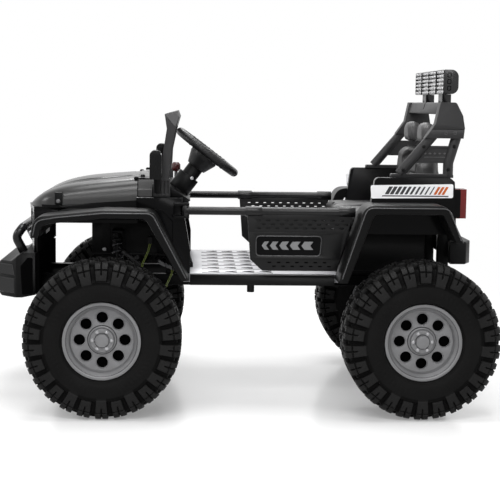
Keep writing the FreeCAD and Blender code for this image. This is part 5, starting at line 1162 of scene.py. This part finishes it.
def make_wiring():
    """Fixed clipped wiring beside the front spring, its plug and clip, link arms and battery straps."""
    wires, plugs, clip, straps, links = shapes(5)
    for shift in (0, 4):
        for line in (((244, 452), (252, 424), (266, 392), (272, 366)),
                     ((186, 378), (184, 366), (196, 340), (206, 318))):
            path = rounded([(x + shift, z) for x, z in line], 20, False, 6)
            wires.tube([(x, 226 + shift, z) for x, z in path], 1.1)
    for near, far in ((0, 17), (19, 25), (27, 40)):
        plug = [(226 - far, 402 - far * 0.45), (222 - far, 389 - far * 0.45),
                (222 - near, 389 - near * 0.45), (226 - near, 402 - near * 0.45)]
        plugs.plate(plug, 214, 234, 1, 1.0)
    plugs.plate([(187, 382), (185, 375), (221, 391), (223, 398)], 216, 231, 1, 1.0)
    clip.plate(rounded(box_loop(247, 456, 14, 20), 3, True, 4), 214, 234, 1, 1.5)
    for path in (((328, 170, 417), (300, 172, 398), (273, 174, 377)), ((300, 150, 396), (285, 196, 404))):
        links.tube(path, 6.0, 12)
    half, low, high, wide, thick = 117.2, 407, 499.2, 11, 0.012
    for x in (220, 376):
        loop = rounded(box_loop(0, (low + high) / 2, 2 * half, high - low), 6, True, 5)
        rows = [[(x + across, y * (1 + grow), z if z < 450 else z + grow * 100) for y, z in loop]
                for across, grow in ((-wide, 0.0), (-wide, thick), (wide, thick), (wide, 0.0))]
        straps.skin(rows, closed=True)
    wires.piece("front_loom", "wire_yellow_green", crease=60)
    plugs.piece("front_plugs", "plug_grey")
    clip.piece("front_clip", "trim")
    straps.piece("battery_straps", "trim")
    links.piece("front_links", "roll_grey", crease=60)


def make_bolts():
    """Pins of the hood catches, and single bolts on the steering column and the battery case."""
    bolts("catch_pins", [((500, side * 234.2, 562), (0, side, 0)) for side in SIDES], 4.2, 3.4, "plug_grey")
    bolts("column_bolt", [((134, 150.6, 624), LEFTWARD)], 3.6, 4.0)
    bolts("battery_bolt", [((381, 116, 418), LEFTWARD)], 5.6, 6.0)


# Camera, floor and light, in metres.
CAMERA_SPOT = (0.126309, 3.819011, 0.833583)
CAMERA_YAW, CAMERA_PITCH, CAMERA_ROLL = (math.radians(angle) for angle in (2.477, 6.398, 0.72))
LENS_MM, SENSOR_MM = 93.67, 36.0


def set_camera():
    """The photograph's viewpoint."""
    level = math.cos(CAMERA_PITCH)
    forward = Vector((-math.sin(CAMERA_YAW) * level, -math.cos(CAMERA_YAW) * level, -math.sin(CAMERA_PITCH)))
    right = Vector((-math.cos(CAMERA_YAW), math.sin(CAMERA_YAW), 0))
    up = right.cross(forward)
    across = math.cos(CAMERA_ROLL) * right + math.sin(CAMERA_ROLL) * up
    above = -math.sin(CAMERA_ROLL) * right + math.cos(CAMERA_ROLL) * up
    camera = put("camera", fill(bpy.data.cameras.new("camera"), sensor_width=SENSOR_MM, lens=LENS_MM,
                                clip_end=60.0))
    turn = Matrix((across, above, -forward)).transposed().to_4x4()
    camera.matrix_world = Matrix.Translation(CAMERA_SPOT) @ turn
    bpy.context.scene.camera = camera


def lamp(name, spot, aim, size, power, size_y=None):
    """An area light that looks from a spot at an aim."""
    light = put(name, fill(bpy.data.lights.new(name, "AREA"), shape="RECTANGLE", size=size,
                           size_y=size_y or size, energy=power))
    light.location = spot
    light.rotation_euler = (Vector(aim) - Vector(spot)).to_track_quat("-Z", "Y").to_euler()


def seen_rays(tree):
    """1 for the rays that show the background: camera, glossy and transmission rays."""
    rays = add(tree, "ShaderNodeLightPath").outputs
    seen = rays["Is Camera Ray"]
    for other in ("Is Glossy Ray", "Is Transmission Ray"):
        seen = add(tree, "ShaderNodeMath", seen, rays[other], operation="MAXIMUM").outputs[0]
    return seen


def set_world():
    """White where it is seen or mirrored, and dim as a light."""
    dim, white = 0.12, 1.0
    world = bpy.data.worlds.new("studio")
    bpy.context.scene.world = world
    world.use_nodes = True
    tree = world.node_tree
    back = tree.nodes["Background"]
    back.inputs["Color"].default_value = (1, 1, 1, 1)
    level = add(tree, "ShaderNodeMix", seen_rays(tree), data_type="FLOAT", A=dim, B=white)
    tree.links.new(level.outputs[0], back.inputs["Strength"])


def set_floor():
    """A glossy white floor that takes the shadows and fades to plain white far away."""
    half, drop, glow = 9.0, -0.0006, 0.24
    mesh = bpy.data.meshes.new("floor")
    corners = [(-half, -half, 0), (half, -half, 0), (half, half, 0), (-half, half, 0)]
    mesh.from_pydata(corners, [], [(0, 1, 2, 3)])
    floor = put("floor", mesh)
    floor.location.z = drop
    material, tree, shader = new_material("floor_white")
    tint = ramp(tree, noise(tree, place(tree), 2.0, 3.0), [(0.3, 0.70), (0.7, 0.73)])
    tree.links.new(tint, shader.inputs["Base Color"])
    set_inputs(shader, {"Roughness": 0.2, "Specular IOR Level": 0.3})
    near = add(tree, "ShaderNodeEmission", Color=(1, 1, 1, 1))
    level = add(tree, "ShaderNodeMath", seen_rays(tree), operation="MULTIPLY")
    level.inputs[1].default_value = glow
    tree.links.new(level.outputs[0], near.inputs["Strength"])
    both = add(tree, "ShaderNodeAddShader", shader.outputs[0], near.outputs[0])
    distance = add(tree, "ShaderNodeVectorMath", place(tree, 0.2), operation="LENGTH")
    fade = ramp(tree, distance.outputs["Value"], [(0.30, 0.0), (0.48, 1.0)])
    far = add(tree, "ShaderNodeEmission", Color=(1, 1, 1, 1))
    tree.links.new(seen_rays(tree), far.inputs["Strength"])
    whole = add(tree, "ShaderNodeMixShader", fade, both.outputs[0], far.outputs[0])
    tree.links.new(whole.outputs[0], tree.nodes["Material Output"].inputs["Surface"])
    mesh.materials.append(material)


def set_studio():
    """Soft lights above, before and round the car, over the white floor."""
    bpy.context.scene.view_settings.view_transform = "Standard"
    set_world()
    set_floor()
    lamp("top", (0.0, 0.0, 3.2), (0, 0, 0.4), 1.8, 84)
    lamp("key", (0.35, 2.3, 2.7), (0.1, 0.2, 0.45), 2.4, 50, size_y=0.5)
    lamp("sheen", (0.3, 2.9, 1.55), (0.1, 0.0, 0.45), 2.8, 22, size_y=0.35)
    lamp("far", (-0.2, -2.4, 2.4), (0, 0, 0.4), 2.0, 34, size_y=0.6)
    lamp("nose", (2.8, 0.6, 1.6), (0.4, 0, 0.4), 1.0, 22)
    lamp("tail", (-2.8, 0.4, 1.6), (-0.4, 0, 0.4), 1.0, 22)


# The rounded edges of CAD nodes: width in metres, least angle in degrees and segments.
PLAIN_EDGE = (0.0012, 32, 2)
EDGES = {
    "roll_bar_sides": (0.003, 30, 3), "roll_header": (0.004, 30, 3), "front_bumper": (0.004, 24, 3),
    "rear_tub": (0.003, 24, 3), "lamp_pods": (0.002, 24, 3), "rear_bumper": (0.005, 24, 3),
    "windscreen_frame": (0.0015, 24, 2), "mirrors": (0.002, 24, 3),
}

for subpart in frame["record"]["subparts"]:
    dress(FIRST_OF_SLOT[subpart["material_slot"]], subpart["node"])
dress("led_square", "lamp_grids")
dress("lamp_housing", "lamp_pods")
dress("door_panel", "door_panel_left", "door_panel_right")
for name in NODES:
    soften(name, *EDGES.get(name, PLAIN_EDGE))

make_tyres()
make_seats()
make_lamp_bar()
make_springs()
make_rims()
make_bands()
make_door_signs()
make_trim()
make_slot_shade()
make_bumper_facets()
make_hood()
make_fenders()
make_nose_and_tail()
make_bumper_shade_and_hooks()
make_roll_details()
make_lamps()
make_floor_tread()
make_dashboard()
make_steering_pad()
make_wiring()
make_bolts()
set_camera()
set_studio()
